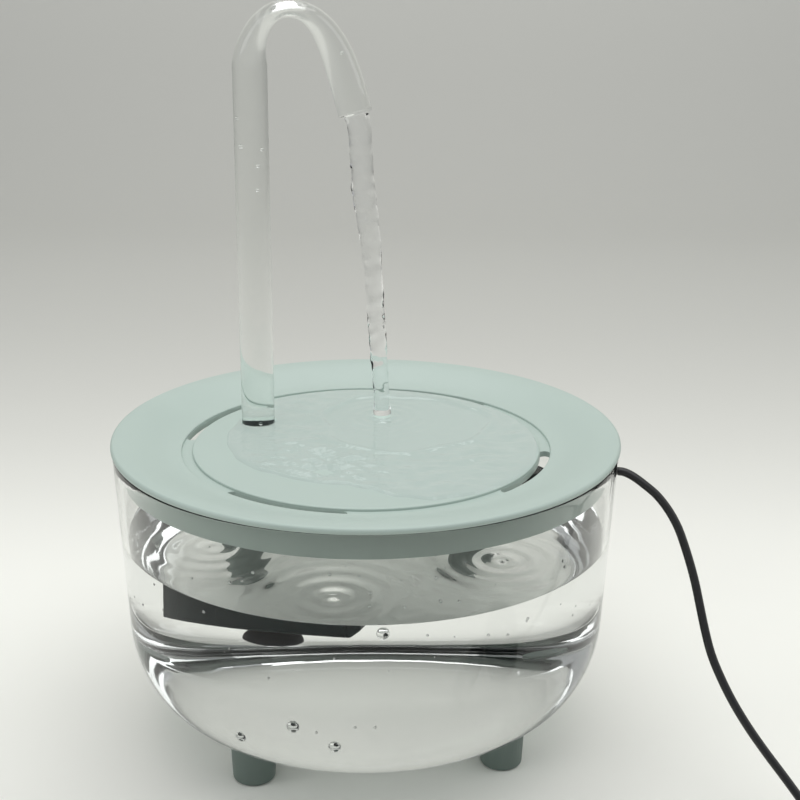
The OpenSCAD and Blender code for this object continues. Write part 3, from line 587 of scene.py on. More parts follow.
def make_bowl():
    near_rim = 4
    top_r, top_z = BOWL_R - 0.03, RIM_Z - 1
    # The outer face goes up from the middle of the bottom, the inner face comes back down
    outer = spaced((0, FOOT_H), (BASE_R, FOOT_H), 6)
    outer += arc(BASE_R, CORNER_Z, WALL_LOW_R - BASE_R, CORNER_H, -90, 0, 40)
    outer += spaced((WALL_LOW_R, CORNER_Z), (top_r, top_z), 12)[1:]
    outer += [(BOWL_R - WALL_TAPER * near_rim, RIM_Z - near_rim)]
    outer += arc(BOWL_R - RIM_ROUND, RIM_Z - RIM_ROUND, RIM_ROUND, RIM_ROUND, 0, 90, 5)
    inner = arc(INNER_R + RIM_ROUND, RIM_Z - RIM_ROUND, RIM_ROUND, RIM_ROUND, 90, 180, 5)
    inner += [(INNER_R - WALL_TAPER * near_rim, RIM_Z - near_rim)]
    wet_z = WATER_Z + MENISCUS_H
    heights = [top_z + (CORNER_Z - RIM_Z + 1) * i / 12 for i in range(1, 12)] + [wet_z]
    inner += [(inner_radius(z), z) for z in sorted(heights, reverse=True)]
    inner += arc(BASE_R, CORNER_Z, INNER_LOW_R - BASE_R, CORNER_H - BOWL_FLOOR, 0, -90, 40)
    inner += reversed(spaced((0, FLOOR_Z), (BASE_R, FLOOR_Z), 6))
    bowl = new_piece("clear_bowl", *lathe(outer + inner, RIM_TURNS, warp=rim_notch), "clear_plastic")
    heart = Vector((0, 0, CORNER_Z))
    paint(bowl, "wet_plastic", lambda at, way, n: at.z < wet_z and way.dot(at - heart) < 0)
    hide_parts("bowl")
    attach(bowl, "root")


# Places where water drips back into the bowl: x, y, height of the first wave, length of a wave (mm)
DRIPS = [(-9.9, -72.6, 0.55, 9.0), (52.0, -40.0, 0.5, 8.0), (-58.0, -30.0, 0.4, 8.0), (20.0, 68.0, 0.4, 9.0)]
DRIP_REACH = 16.0


def ripple(x, y):
    """Height of the waves on the bowl's water."""
    z = 0.18 * swell(x * 0.035, y * 0.035, 2.1)
    for dx, dy, high, wave in DRIPS:
        d = math.hypot(x - dx, y - dy)
        z += high * math.cos(math.tau * d / wave) * math.exp(-d / DRIP_REACH)
    return z


def make_water():
    sink, rows = 0.3, 90
    floor_z, low_r = FLOOR_Z - sink, INNER_LOW_R + sink
    edge_r, top_z = inner_radius(WATER_Z) + sink, WATER_Z + MENISCUS_H
    profile = spaced((0, floor_z), (BASE_R, floor_z), 6)
    profile += arc(BASE_R, CORNER_Z, low_r - BASE_R, CORNER_H - BOWL_FLOOR + sink, -90, 0, 36)
    profile += spaced((low_r, CORNER_Z), (edge_r, top_z), 6)[1:] + [(edge_r, top_z)]
    profile += [(edge_r - sink - 0.25 * i, WATER_Z + MENISCUS_H * math.exp(-i / 1.8)) for i in range(1, 8)]
    inside = profile[-1][0]
    profile += [(inside * (1 - i / rows), WATER_Z) for i in range(1, rows + 1)]

    def waves(p, a, r):
        if p[2] < WATER_Z - 0.01:
            return p
        fade = smooth((inner_radius(WATER_Z) - r) / 5)
        return (p[0], p[1], p[2] + fade * ripple(p[0], p[1]))

    water = new_piece("bowl_water", *lathe(profile, 288, warp=waves), "water_clear")
    paint(water, "held_water", lambda at, way, n: at.z < WATER_Z - 2)
    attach(water, "root")


make_bowl()
make_water()

# -------------------- tray


def tray_face(r):
    """Height of the tray's upper face at radius r."""
    if r < CHANNEL_R:
        return DISC_Z - DISC_DISH * (1 - smooth(r / DISH_R))
    return DISC_Z + (CREST_Z - DISC_Z) * smooth((r - CHANNEL_R) / (CREST_R - CHANNEL_R))


def slot_half_width(a):
    """Half the width of the drain slots at angle a, 0 between them."""
    off = min(abs(math.remainder(a - middle, math.tau)) for middle in SLOT_TURNS)
    past = max(off - SLOT_HALF, 0) * SLOT_MID_R
    return math.sqrt(max((SLOT_W / 2) ** 2 - past**2, 0))


def channel_floor(turns):
    """Floor of the drain channel with its slots, upper and lower face."""
    points, faces = [], []
    for a in turns:
        half = slot_half_width(a)
        for z in (CHANNEL_Z, CHANNEL_Z - TRAY_WALL):
            points += [polar(r, a, z)
                       for r in (CHANNEL_IN_R, SLOT_MID_R - half, SLOT_MID_R + half, CHANNEL_R)]
    for j, a in enumerate(turns):
        here, there = 8 * j, 8 * ((j + 1) % len(turns))
        for n in (0, 2, 4, 6):
            faces.append([here + n, there + n, there + n + 1, here + n + 1])
        if slot_half_width(a) + slot_half_width(turns[(j + 1) % len(turns)]) > 0:
            faces += [[here + n, there + n, there + n + 4, here + n + 4] for n in (1, 2)]
    return points, faces


def skirt_slot(p, a, r):
    """Raises the skirt's lower edge over the grommet."""
    off = abs(math.remainder(a - EXIT_TURN, math.tau)) * r
    if r < SKIRT_IN_R - 0.1 or r > SKIRT_R + 0.1 or p[2] > EXIT_Z + GROMMET_R or off > GROMMET_R:
        return p
    edge_z = EXIT_Z + math.sqrt(GROMMET_R**2 - off**2)
    return (p[0], p[1], edge_z + (p[2] - SKIRT_LOW_Z) * 0.02)


def shell_patches():
    """Patches of the tray's shell from the middle of its upper face out to the rim and back below."""
    seam_in_r, seam_out_r = 40, 62
    hole_steps = 96
    # More angles where the slots end and where the cable leaves
    fine = [(m + s * (SLOT_HALF + 0.014), 0.015, 0.003) for m in SLOT_TURNS for s in (-1, 1)]
    turns = even_turns(360, (EXIT_TURN, 0.036, 0.004), *fine)
    middle = [(r, tray_face(r)) for r in [0, 1] + list(range(2, seam_in_r + 1, 2))]
    edge = [(seam_out_r, DISC_Z), (65, DISC_Z)]
    edge += arc(CHANNEL_IN_R - LIP, DISC_Z - LIP, LIP, LIP, 90, 0, 4) + [(CHANNEL_IN_R, CHANNEL_Z)]

    margin = [CHANNEL_R + LIP + (CREST_R - CHANNEL_R - LIP) * i / 24 for i in range(1, 25)]
    rim = [(CHANNEL_R, CHANNEL_Z)] + arc(CHANNEL_R + LIP, DISC_Z - LIP, LIP, LIP, 180, 90, 4)
    rim += [(r, tray_face(r)) for r in margin]
    rim += arc(TRAY_R - RIM_NOSE, CREST_Z - RIM_NOSE, RIM_NOSE, RIM_NOSE, 90, 0, 8)
    rim += [(TRAY_R, RIM_Z + SEAT_CUT), (TRAY_R - 0.2, RIM_Z + SEAT_CUT - 0.5), (TRAY_R - SEAT_CUT, RIM_Z)]
    rim += [(SKIRT_R, z) for z in (RIM_Z, EXIT_Z + GROMMET_R + 0.1, EXIT_Z, SKIRT_LOW_Z + LIP)]
    rim += arc(SKIRT_R - LIP, SKIRT_LOW_Z + LIP, LIP, LIP, 0, -90, 3)
    rim += arc(SKIRT_IN_R + LIP, SKIRT_LOW_Z + LIP, LIP, LIP, -90, -180, 3)
    rim += [(SKIRT_IN_R, EXIT_Z), (SKIRT_IN_R, tray_face(SKIRT_IN_R) - TRAY_WALL)]
    under = [r for r in margin if CHANNEL_R + 2 < r < SKIRT_IN_R - 1]
    rim += [(r, tray_face(r) - TRAY_WALL) for r in reversed(under)]
    channel_under_z = CHANNEL_Z - TRAY_WALL
    rim += [(CHANNEL_R + 1.5, channel_under_z), (CHANNEL_R, channel_under_z)]

    below = [(CHANNEL_IN_R, channel_under_z), (CHANNEL_IN_R - 1.5, channel_under_z)]
    below += [(CHANNEL_IN_R - 3, UNDER_Z), (seam_out_r, UNDER_Z)]
    socket = arc(SOCKET_R + LIP, DISC_Z - LIP, LIP, LIP, 90, 180, 4)
    socket += [(SOCKET_R, SPIGOT_TOP_Z), (SPIGOT_R, SPIGOT_TOP_Z), (SPIGOT_R, BOSS_LOW_Z)]
    socket += [(SOCKET_OUT_R, BOSS_LOW_Z), (SOCKET_OUT_R, UNDER_Z)]
    return [
        lathe(middle, turns, strip=True),
        flat_ring(seam_in_r, seam_out_r, DISC_Z, turns, SPOUT_AT, SOCKET_R + LIP, hole_steps),
        lathe(edge, turns, strip=True),
        channel_floor(turns),
        lathe(rim, turns, warp=skirt_slot, strip=True),
        lathe(below, turns, strip=True),
        flat_ring(seam_in_r, seam_out_r, UNDER_Z, turns, SPOUT_AT, SOCKET_OUT_R, hole_steps),
        lathe([(r, z - TRAY_WALL) for r, z in reversed(middle)], turns, strip=True),
        lathe(socket, hole_steps, centre=SPOUT_AT, strip=True),
    ]


def lead_clip(r):
    """Clip of round section under the tray, open below, for the pump lead."""
    clip_r, wall = CABLE_R + 0.1, 1.2
    mouth, gap = 28, 40
    outline = arc(0, LEAD_Z, clip_r + wall, clip_r + wall, -90 + mouth, 60, 14)
    outline += [(wall, UNDER_Z + 0.3), (-wall, UNDER_Z + 0.3)]
    outline += arc(0, LEAD_Z, clip_r + wall, clip_r + wall, 120, 270 - mouth, 14)
    outline += arc(0, LEAD_Z, clip_r, clip_r, 270 - gap, -90 + gap, 24)
    ends = []
    for along in (r - CLIP_W / 2, r + CLIP_W / 2):
        ends.append([(along * math.cos(EXIT_TURN) - c * math.sin(EXIT_TURN),
                      along * math.sin(EXIT_TURN) + c * math.cos(EXIT_TURN), z) for c, z in outline])
    n = len(outline)
    faces = [[j, (j + 1) % n, n + (j + 1) % n, n + j] for j in range(n)]
    return ends[0] + ends[1], faces + [list(range(n)), list(range(2 * n - 1, n - 1, -1))]


def make_tray():
    tray = new_piece("drinking_tray", *joined(*shell_patches()), "sage_plastic")
    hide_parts("tray")
    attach(tray, "tray")
    clips = new_piece("lead_clips", *joined(*[lead_clip(r) for r in CLIP_RINGS]), "sage_plastic")
    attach(clips, "tray")


def shape_tree(name, **sizes):
    """An empty Geometry Nodes tree with its named inputs."""
    tree = bpy.data.node_groups.new(name, "GeometryNodeTree")
    face = tree.interface
    face.new_socket("Geometry", in_out="INPUT", socket_type="NodeSocketGeometry")
    for key, value in sizes.items():
        kind = "NodeSocketInt" if isinstance(value, int) else "NodeSocketFloat"
        face.new_socket(key.replace("_", " "), in_out="INPUT", socket_type=kind).default_value = value
    face.new_socket("Material", in_out="INPUT", socket_type="NodeSocketMaterial")
    face.new_socket("Geometry", in_out="OUTPUT", socket_type="NodeSocketGeometry")
    return tree, tree.nodes.new("NodeGroupInput"), tree.nodes.new("NodeGroupOutput")


def lay_out(tree, given, made, shape):
    """Lays a shape on each point and ends the tree: real geometry with its material."""
    spots = add(tree, "GeometryNodeMeshToPoints")
    laid = add(tree, "GeometryNodeInstanceOnPoints")
    real = add(tree, "GeometryNodeRealizeInstances")
    coat = add(tree, "GeometryNodeSetMaterial")
    wire(tree, (given, "Geometry", spots, "Mesh"), (spots, "Points", laid, "Points"),
         (shape, 0, laid, "Instance"), (laid, "Instances", real, "Geometry"),
         (real, "Geometry", coat, "Geometry"), (given, "Material", coat, "Material"),
         (coat, "Geometry", made, "Geometry"))
    return laid


def rib_tree():
    """A bar of the length in each point's attribute, laid along its radius."""
    tree, given, made = shape_tree("radial_bars", Width=0.0016, Height=0.0025)
    place = add(tree, "GeometryNodeInputPosition")
    apart = add(tree, "ShaderNodeSeparateXYZ")
    turn = add(tree, "ShaderNodeMath", operation="ARCTAN2")
    spin = add(tree, "ShaderNodeCombineXYZ")
    euler = add(tree, "FunctionNodeEulerToRotation")
    length = add(tree, "GeometryNodeInputNamedAttribute", data_type="FLOAT", Name="length")
    size = add(tree, "ShaderNodeCombineXYZ")
    laid = lay_out(tree, given, made, add(tree, "GeometryNodeMeshCube"))
    wire(tree, (place, 0, apart, 0), (apart, "Y", turn, 0), (apart, "X", turn, 1), (turn, 0, spin, "Z"),
         (spin, 0, euler, 0), (euler, 0, laid, "Rotation"), (length, "Attribute", size, "X"),
         (given, "Width", size, "Y"), (given, "Height", size, "Z"), (size, 0, laid, "Scale"))
    return tree


def bead_tree():
    """A small ball on each point, of a size picked between two limits."""
    tree, given, made = shape_tree("beads", Smallest=0.0003, Largest=0.0008, Seed=1)
    ball = add(tree, "GeometryNodeMeshIcoSphere", Radius=1.0, Subdivisions=3)
    soft = add(tree, "GeometryNodeSetShadeSmooth")
    size = add(tree, "FunctionNodeRandomValue", data_type="FLOAT")
    laid = lay_out(tree, given, made, soft)
    wire(tree, (ball, "Mesh", soft, "Geometry"), (given, "Seed", size, "Seed"))
    limits = [socket for socket in size.inputs if socket.name in ("Min", "Max") and socket.type == "VALUE"]
    for key, limit in zip(("Smallest", "Largest"), limits):
        tree.links.new(given.outputs[key], limit)
    picked = next(socket for socket in size.outputs if socket.type == "VALUE")
    tree.links.new(picked, laid.inputs["Scale"])
    return tree


def grown(name, tree, points, look, lengths=None, **sizes):
    """Runs a tree on points given in mm and keeps what it makes as a plain mesh."""
    mesh = bpy.data.meshes.new(name + "_points")
    mesh.from_pydata([tuple(c * MM for c in p) for p in points], [], [])
    if lengths:
        mesh.attributes.new("length", "FLOAT", "POINT").data.foreach_set("value", [v * MM for v in lengths])
    piece = put_in(name, mesh)
    grow = piece.modifiers.new(tree.name, "NODES")
    grow.node_group = tree
    sockets = {item.name: item.identifier for item in tree.interface.items_tree if item.in_out == "INPUT"}
    for key, value in sizes.items():
        grow[sockets[key.replace("_", " ")]] = value
    grow[sockets["Material"]] = LOOKS[look]
    bpy.context.view_layer.update()
    whole = bpy.data.meshes.new_from_object(piece.evaluated_get(bpy.context.evaluated_depsgraph_get()))
    piece.modifiers.clear()
    piece.data = whole
    return piece


def make_ribs():
    """Ribs under the disc. The one that meets the spout's boss is broken there."""
    bars = []
    boss_r, boss_turn = math.hypot(*SPOUT_AT), math.atan2(SPOUT_AT[1], SPOUT_AT[0])
    for i in range(RIB_COUNT):
        turn = math.tau / RIB_COUNT * (i + 0.5)
        off = math.remainder(turn - boss_turn, math.tau)
        aside = boss_r * abs(math.sin(off))
        if abs(off) < 1 and aside < SOCKET_OUT_R:
            half = math.sqrt(SOCKET_OUT_R**2 - aside**2) - 0.5
            near = boss_r * math.cos(off) - half
            spans = [(RIB_IN_R, near), (near + 2 * half, RIB_OUT_R)]
        else:
            spans = [(RIB_IN_R, RIB_OUT_R)]
        bars += [(turn, low, high) for low, high in spans]
    middles = [polar((low + high) / 2, t, (RIB_Z + RIB_TOP_Z) / 2) for t, low, high in bars]
    lengths = [high - low for t, low, high in bars]
    ribs = grown("tray_ribs", rib_tree(), middles, "sage_plastic", lengths, Width=RIB_W * MM,
                 Height=(RIB_TOP_Z - RIB_Z) * MM)
    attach(ribs, "tray")
    out_r = RIB_IN_R + RIB_RING_W
    ring = [(RIB_IN_R, RIB_Z), (out_r, RIB_Z), (out_r, UNDER_Z - 0.3), (RIB_IN_R, UNDER_Z - 0.3)]
    hub = new_piece("rib_hub", *lathe(ring, 48), "sage_plastic")
    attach(hub, "tray")


make_tray()
make_ribs()

# -------------------- spout and running water

TUBE_SIDES = 48
# Painted shade: the tube's outer face is painted dark between these heights, where its socket shades it
GAP_LOW_Z = 113.5
GAP_TOP_Z = DISC_Z - 0.2
FILM_H = 1.0


def in_arch(t, across, z):
    """A point given along the arch's plane, across it and in height."""
    return (SPOUT_AT[0] + t * math.cos(ARCH_TURN) - across * math.sin(ARCH_TURN),
            SPOUT_AT[1] + t * math.sin(ARCH_TURN) + across * math.cos(ARCH_TURN), z)


def arch_line(rise_steps=24, fall_steps=44):
    """Middle, way and pressed share along the arch, from the top of the leg to the outlet."""
    outlet = Vector((REACH, CROWN_H - OUTLET_DROP))
    fall = [Vector((CROWN_X, CROWN_H)), Vector((CROWN_X + RISE_PULL, CROWN_H)),
            outlet + FALL_PULL * Vector((-math.sin(OUTLET_LEAN), math.cos(OUTLET_LEAN))), outlet]
    line = []
    for i in range(rise_steps):
        s = math.pi / 2 * i / rise_steps
        way = Vector((CROWN_X * math.sin(s), CROWN_H * math.cos(s)))
        p = Vector((CROWN_X * (1 - math.cos(s)), CROWN_H * math.sin(s)))
        line.append((p, way.normalized(), math.sin(s)))
    for i in range(fall_steps + 1):
        t = i / fall_steps
        u = 1 - t
        p = u**3 * fall[0] + 3 * u**2 * t * fall[1] + 3 * u * t**2 * fall[2] + t**3 * fall[3]
        way = u**2 * (fall[1] - fall[0]) + 2 * u * t * (fall[2] - fall[1]) + t**2 * (fall[3] - fall[2])
        line.append((p, way.normalized(), max(math.cos(math.pi / 2 * t), 0) ** 3))
    return line


def ring_round(middle, way, in_plane, across):
    """A ring round a point of the arch's plane. Its half axes are numbers or functions of the angle."""
    ring = []
    for j in range(TUBE_SIDES):
        q = math.tau * j / TUBE_SIDES
        a = in_plane(q) if callable(in_plane) else in_plane
        b = across(q) if callable(across) else across
        ring.append(in_arch(middle.x - a * math.cos(q) * way.y, b * math.sin(q),
                            LEG_TOP_Z + middle.y + a * math.cos(q) * way.x))
    return ring


def tube_rings(thin, low_z):
    """Rings up the leg and round the arch, thin mm inside the tube's outer face."""
    steps = round((LEG_TOP_Z - low_z) / 4)
    heights = {low_z + (LEG_TOP_Z - low_z) * i / steps for i in range(steps)} | {GAP_LOW_Z, GAP_TOP_Z}
    line = [(Vector((0, z - LEG_TOP_Z)), Vector((0, 1)), 0) for z in sorted(heights)]
    return [ring_round(middle, way, TUBE_R * (1 - ARCH_PRESS * pressed) - thin,
                       TUBE_R * (1 + ARCH_SPREAD * pressed) - thin)
            for middle, way, pressed in line + arch_line()]


# Middle of the falling stream below the outlet: distance along the arch's plane and height over the rim
STREAM = [(42.3, 117), (43.9, 94), (47, 67), (49.6, 32), (50.9, 14), (51.6, -1)]
STREAM_TOP_R = 4.75
STREAM_LOW_R = 3.3
STREAM_FOOT_R = 3.9


def stream_rings():
    """Rings down the falling stream, which narrows, twists and spreads where it lands."""
    outlet = arch_line()[-1][0]
    path = through([(outlet.x, 0, outlet.y)] + [(t, 0, RIM_Z + z - LEG_TOP_Z) for t, z in STREAM], 1.5)
    rings = []
    for i, p in enumerate(path):
        share = i / (len(path) - 1)
        ahead = path[min(i + 1, len(path) - 1)] - path[max(i - 1, 0)]
        way = Vector((ahead.x, ahead.z)).normalized()
        r = STREAM_TOP_R + (STREAM_LOW_R - STREAM_TOP_R) * smooth(share * 1.15)
        r += (STREAM_FOOT_R - STREAM_LOW_R) * smooth((share - 0.96) / 0.04)
        drop = p.z * 0.11
        r *= 1 + 0.05 * smooth(share * 5) * swell(0.3, 1.7, p.z * 0.16)

        def lobed(q, r=r, drop=drop, share=share, z=p.z):
            lobes = 0.05 * (math.cos(2 * q + drop) + 0.6 * math.cos(3 * q - 0.7 * drop))
            ruffle = 0.11 * swell(*polar(1.3, q, z * 0.4))
            return r * (1 + smooth(share * 6) * (lobes + ruffle))

        rings.append(ring_round(Vector((p.x, p.z)), way, lobed, lobed))
    return rings


def make_spout():
    outer = tube_rings(0, LEG_FOOT_Z)
    inner = tube_rings(TUBE_WALL, LEG_FOOT_Z)
    tube = new_piece("clear_spout", *skin(outer + inner[::-1], loop=True), "tube_plastic")
    outside = len(outer) * TUBE_SIDES
    paint(tube, "wet_plastic", lambda at, way, n: n >= outside)
    # Painted shade on the tube's outer face where its socket hides it from the light
    paint(tube, "gap_shade", lambda at, way, n: n < outside and GAP_LOW_Z < at.z < GAP_TOP_Z)
    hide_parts("spout_tube")
    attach(tube, "spout")
    water = new_piece("running_water", *skin(stream_rings()), "stream_clear")
    paint(water, "held_water", lambda at, way, n: at.z < DISC_Z + FILM_H or at.z > OUTLET_Z - 0.5)
    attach(water, "spout")


make_spout()

# Edge of the water film on the disc: direction in degrees and distance from the middle
FILM_EDGE = [(-163, 53.5), (-146, 51.3), (-130, 48.8), (-112, 47), (-99, 46), (-88, 50), (-77, 58.5),
             (-65, 65.5), (-50, 68.2), (120, 68.2), (138, 66), (150, 60.5), (165, 57.5), (180, 55.5)]
LANDING = in_arch(STREAM[-1][0], 0, DISC_Z)[:2]


def film_edge(a):
    """Distance of the film's edge from the middle, in direction a."""
    turn = math.degrees(math.remainder(a, math.tau))
    ends = [(FILM_EDGE[-1][0] - 360, FILM_EDGE[-1][1])] + FILM_EDGE
    for (a0, r0), (a1, r1) in zip(ends, ends[1:]):
        if a0 <= turn <= a1:
            fringe = 0.35 * math.sin(9 * a) * smooth((66 - r0) / 8)
            return r0 + (r1 - r0) * smooth((turn - a0) / (a1 - a0)) + fringe
    return ends[0][1]


# The line where the film thickens, and where the water outside it is most broken
JUMP_AT = (LANDING[0] + 9, LANDING[1] - 8)
JUMP_R = 35
RUSH_AT = (-16, -28)
RUSH_SPREAD = 380


def film_wave(x, y):
    """Height of the film's waves: rings round the stream, the ridge where the film thickens and the
    chop outside it."""
    ring_h, ring_r, ring_gap, ring_reach = 0.2, 4.4, 5.2, 14
    crown_h, crown_r, crown_w = 0.4, 4.6, 1.4
    thick, ridge_h, ridge_w, thin = 0.3, 0.55, 1.7, 0.25
    d = math.hypot(x - LANDING[0], y - LANDING[1])
    ring = ring_h * math.cos(math.tau * (d - ring_r) / ring_gap) * math.exp(-d / ring_reach)
    ring *= smooth((d - 2) / 3)
    crown = crown_h * math.exp(-(((d - crown_r) / crown_w) ** 2))
    turn = math.atan2(y - JUMP_AT[1], x - JUMP_AT[0])
    line_r = JUMP_R * (1 + 0.05 * math.sin(3 * turn + 1) + 0.03 * math.sin(7 * turn))
    past = math.hypot(x - JUMP_AT[0], y - JUMP_AT[1]) - line_r
    ridge = thick * smooth((past + 3) / 4) + ridge_h * math.exp(-((past / ridge_w) ** 2)) - thin
    rush = 0.6 + 2.3 * math.exp(-((x - RUSH_AT[0]) ** 2 + (y - RUSH_AT[1]) ** 2) / RUSH_SPREAD)
    bent = 6 * swell(x * 0.05, y * 0.05, 1.0)
    chop = 0.75 * swell((x + bent) * 0.1, (y - bent) * 0.17, 4.0)
    chop += 0.34 * swell((x - bent) * 0.3, (y + bent) * 0.42, 9.0)
    outside = smooth((past + 2) / 5) * rush * chop
    return ring + crown + ridge + outside + 0.05 * swell(x * 0.2, y * 0.2, 6.0)


def make_film():
    """The film lies a little in the disc and has a round brim."""
    turns = even_turns(360)
    rows, sink, brim, calm = 76, 0.05, 1.5, 6
    points, faces = [], []
    for side in (1, 0):
        for i in range(rows + 1):
            for a in turns:
                edge = film_edge(a)
                r = edge * i / rows
                x, y = polar(r, a)
                bed = tray_face(r) - sink
                near = min((edge - r) / brim, 1)
                lift = (DISC_Z + FILM_H - bed) * math.sqrt(max(1 - (1 - near) ** 2, 0))
                points.append((x, y, bed + side * (lift + film_wave(x, y) * smooth((edge - r) / calm))))
    n = len(turns)
    low = (rows + 1) * n
    for i in range(rows):
        for j in range(n):
            here, ahead = i * n + j, i * n + (j + 1) % n
            faces.append([here, ahead, ahead + n, here + n])
            faces.append([low + here + n, low + ahead + n, low + ahead, low + here])
    film = new_piece("water_film", points, faces, "film_clear")
    landing, foot = Vector(LANDING), Vector(SPOUT_AT)
    paint(film, "held_water", lambda at, way, n: (at.to_2d() - landing).length < STREAM_FOOT_R - 0.4
          or (at.to_2d() - foot).length < SOCKET_R + 0.4)
    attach(film, "tray")


make_film()

# Drops and bubbles on the bowl's inner wall (turn in degrees, height) and in the tube (place from its middle)
WALL_DROPS = [(-139.5, 100.7), (-138.5, 98.5), (-96, 105.6), (-73.4, 93.9), (-41.9, 96.6), (-36.4, 101.5),
              (-60, 105.2), (-118, 97), (-150, 92)]
WALL_BUBBLES = [(-125.6, 82), (-99.6, 42.3), (-91.1, 45.4), (-86.8, 45.4), (-110, 62), (-84, 68), (-70, 79),
                (-62, 77), (-57, 75), (-52, 78), (-146, 60), (-150, 66)]
LARGE_BUBBLES = [(-105, 43.2), (-119.2, 33), (-95.8, 36), (-85.2, 82.5)]
TUBE_BUBBLES = [(-4.2, -1.2, 242.6), (-3.3, -2.6, 231.9), (3.7, -2.4, 230.8), (2.4, -3.6, 224.6),
                (2.1, -3.8, 215.2), (1.2, -3.9, 119.0)]
FRONT = -90


def on_wall(spots, sink):
    """Places on the bowl's inner wall, sink mm inside it."""
    return [polar(inner_radius(z) - sink, math.radians(a), z) for a, z in spots]


def make_beads():
    tree = bead_tree()
    pick = np.random.default_rng(11)

    def strewn(count, half, low_z, high_z):
        turns = pick.uniform(-half, half, count)
        return [(FRONT + a, z) for a, z in zip(turns, pick.uniform(low_z, high_z, count))]

    drops = WALL_DROPS + strewn(26, 85, 90, 109)
    bubbles = WALL_BUBBLES + strewn(22, 80, 64, 84)
    for name, spots, small, large, sink in (
        ("wall_drops", drops, 0.25, 0.7, 0.1),
        ("wall_bubbles", bubbles, 0.25, 0.6, 0.5),
        ("large_bubbles", LARGE_BUBBLES, 1.2, 2.4, 1.6),
    ):
        beads = grown(name, tree, on_wall(spots, sink), "bead_clear", Smallest=small * MM, Largest=large * MM,
                      Seed=3)
        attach(beads, "root")
    in_tube = [(SPOUT_AT[0] + x, SPOUT_AT[1] + y, z) for x, y, z in TUBE_BUBBLES]
    in_tube += [in_arch(34.8, -3.4, 267.2)]
    beads = grown("tube_bubbles", tree, in_tube, "bead_clear", Smallest=0.45 * MM, Largest=0.8 * MM, Seed=5)
    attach(beads, "spout")


make_beads()

# -------------------- pump lead and small pieces

LEAD_POINTS = (
    [(-8.61, 16.29, z) for z in (74.2, 84, 94, 99.4)] + [(-6.72, 13.35, 106.4), (-1.44, 5.52, 110.6)]
    + [on_exit(r, LEAD_Z) for r in (12, 20, 30, 40, 50, 60, 68)]
    + [on_exit(75.8, 112.7), on_exit(81.8, 114.6), on_exit(87.8, 117)]
    + [on_exit(91.5, EXIT_Z), on_exit(100, EXIT_Z)]
)


def make_lead():
    lead = new_piece("inner_lead", *skin(rings_along(through(LEAD_POINTS, 2), CABLE_R, 16)), "cable_sheath")
    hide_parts("pump_lead")
    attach(lead, "tray")


def eased(name, node, body, slot, width):
    """A copy of a solid with its edges broken and its round faces smooth."""
    bm = bmesh.new()
    bm.from_mesh(frame["nodes"][node].data)
    bmesh.ops.remove_doubles(bm, verts=bm.verts, dist=1e-7)
    bmesh.ops.dissolve_limit(bm, angle_limit=FLAT, verts=bm.verts, edges=bm.edges)
    if width:
        edges = [e for e in bm.edges if len(e.link_faces) == 2 and e.calc_face_angle() > SHARP]
        bmesh.ops.bevel(bm, geom=edges, offset=width * MM, segments=2, profile=0.5, affect="EDGES",
                        clamp_overlap=True)
    mesh = bpy.data.meshes.new(name)
    smooth_out(bm, mesh, slot)
    piece = put_in(name, mesh)
    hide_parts(node)
    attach(piece, body)


make_lead()
for foot in ("front_left", "front_right", "back_left", "back_right"):
    eased("stub_foot_" + foot, "foot_" + foot, "root", "foot_plastic", 0)
eased("pump_cover", "pump_front_cover", "tray", "pump_plastic", 0.35)
eased("pump_case", "pump_housing", "tray", "pump_plastic", 0.35)
eased("pump_back", "pump_rear_cap", "tray", "pump_plastic", 0.3)
eased("suction_cup", "pump_suction_cup", "tray", "black_rubber", 0)
eased("lead_gland", "pump_gland", "tray", "black_rubber", 0.2)
eased("intake_grille", "intake_cap", "intake_cap", "pump_plastic", 0.2)

# -------------------- stage

# Painted light and shade: tone of the paper at each distance back along the floor and up the wall (m),
# standing in for the light falling off and brightening over the floor and up the wall
PAINTED_PAPER_LIGHT = [(-2.0, 0.68), (-0.35, 0.70), (-0.15, 0.84), (0.0, 0.905), (0.09, 0.93), (0.17, 0.85),
               (0.24, 0.765), (0.33, 0.675), (0.45, 0.607), (0.60, 0.56), (0.80, 0.55), (1.1, 0.56),
               (1.5, 0.59), (1.82, 0.66), (1.9, 0.93), (2.1, 0.97), (6.0, 0.97)]
# Blue of the paper as a share of its red and green
PAPER_WARMTH = 0.94


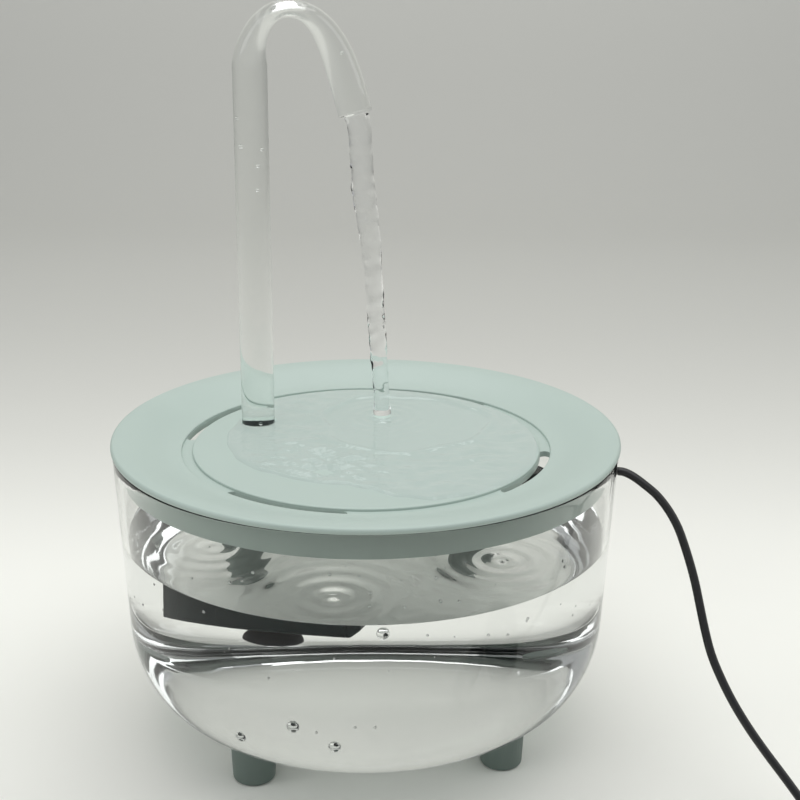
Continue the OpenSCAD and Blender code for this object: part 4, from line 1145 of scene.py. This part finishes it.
def make_stage():
    wall_y, bend, top_z, near_y, half = 1.6, 0.6, 4.0, -9.0, 9.0
    line = [(near_y, 0.0), (wall_y - bend, 0.0)]
    line += [(wall_y - bend + bend * math.sin(t), bend - bend * math.cos(t))
             for t in [math.pi / 2 * i / 16 for i in range(1, 17)]]
    line += [(wall_y, top_z)]
    points = [(x / MM, y / MM, z / MM) for y, z in line for x in (-half, half)]
    faces = [[2 * i, 2 * i + 1, 2 * i + 3, 2 * i + 2] for i in range(len(line) - 1)]
    tree, out = new_look("backdrop_paper")
    surface = add(tree, "ShaderNodeBsdfPrincipled", Roughness=0.9)
    surface.inputs["Specular IOR Level"].default_value = 0.1
    place = add(tree, "ShaderNodeTexCoord")
    split = add(tree, "ShaderNodeSeparateXYZ")
    along = add(tree, "ShaderNodeMath", operation="ADD")
    low, high = PAINTED_PAPER_LIGHT[0][0], PAINTED_PAPER_LIGHT[-1][0]
    spread = add(tree, "ShaderNodeMapRange", From_Min=low, From_Max=high)
    # The ramp paints the room's light and shade into the paper's colour
    ramp = add(tree, "ShaderNodeValToRGB")
    ramp.color_ramp.interpolation = "B_SPLINE"
    stops = ramp.color_ramp.elements
    while len(stops) < len(PAINTED_PAPER_LIGHT):
        stops.new(0.5)
    for stop, (y, tone) in zip(stops, PAINTED_PAPER_LIGHT):
        stop.position = (y - low) / (high - low)
        stop.color = (tone, tone, tone * PAPER_WARMTH, 1)
    wire(tree, (place, "Object", split, 0), (split, "Y", along, 0), (split, "Z", along, 1),
         (along, 0, spread, "Value"), (spread, 0, ramp, 0), (ramp, 0, surface, "Base Color"),
         (surface, 0, out, "Surface"))
    stage = new_piece("backdrop", points, faces, "backdrop_paper")


def area_light(name, at, target, size, power):
    data = bpy.data.lights.new(name, "AREA")
    data.shape = "RECTANGLE"
    data.size, data.size_y = size
    data.energy = power
    lamp = put_in(name, data)
    lamp.location = at
    lamp.rotation_euler = (Vector(target) - Vector(at)).to_track_quat("-Z", "Y").to_euler()


def make_light():
    world = bpy.data.worlds.new("studio")
    world.use_nodes = True
    sky = world.node_tree.nodes["Background"].inputs
    sky["Color"].default_value = (0.95, 0.97, 1.0, 1)
    sky["Strength"].default_value = 0.42
    bpy.context.scene.world = world
    area_light("overhead", (0.05, 0.0, 1.3), (0, 0, 0.05), (1.5, 1.3), 10.4)
    area_light("back_window", (-0.1, 0.85, 1.2), (0, 0, 0.12), (0.8, 0.4), 2.1)
    area_light("left_window", (-1.2, -0.5, 0.8), (0, 0, 0.1), (0.7, 1.0), 3.2)
    area_light("right_fill", (1.3, 0.1, 0.9), (0, 0, 0.1), (0.7, 1.0), 3.2)


make_stage()
make_light()
bpy.context.scene.view_settings.view_transform = "Standard"
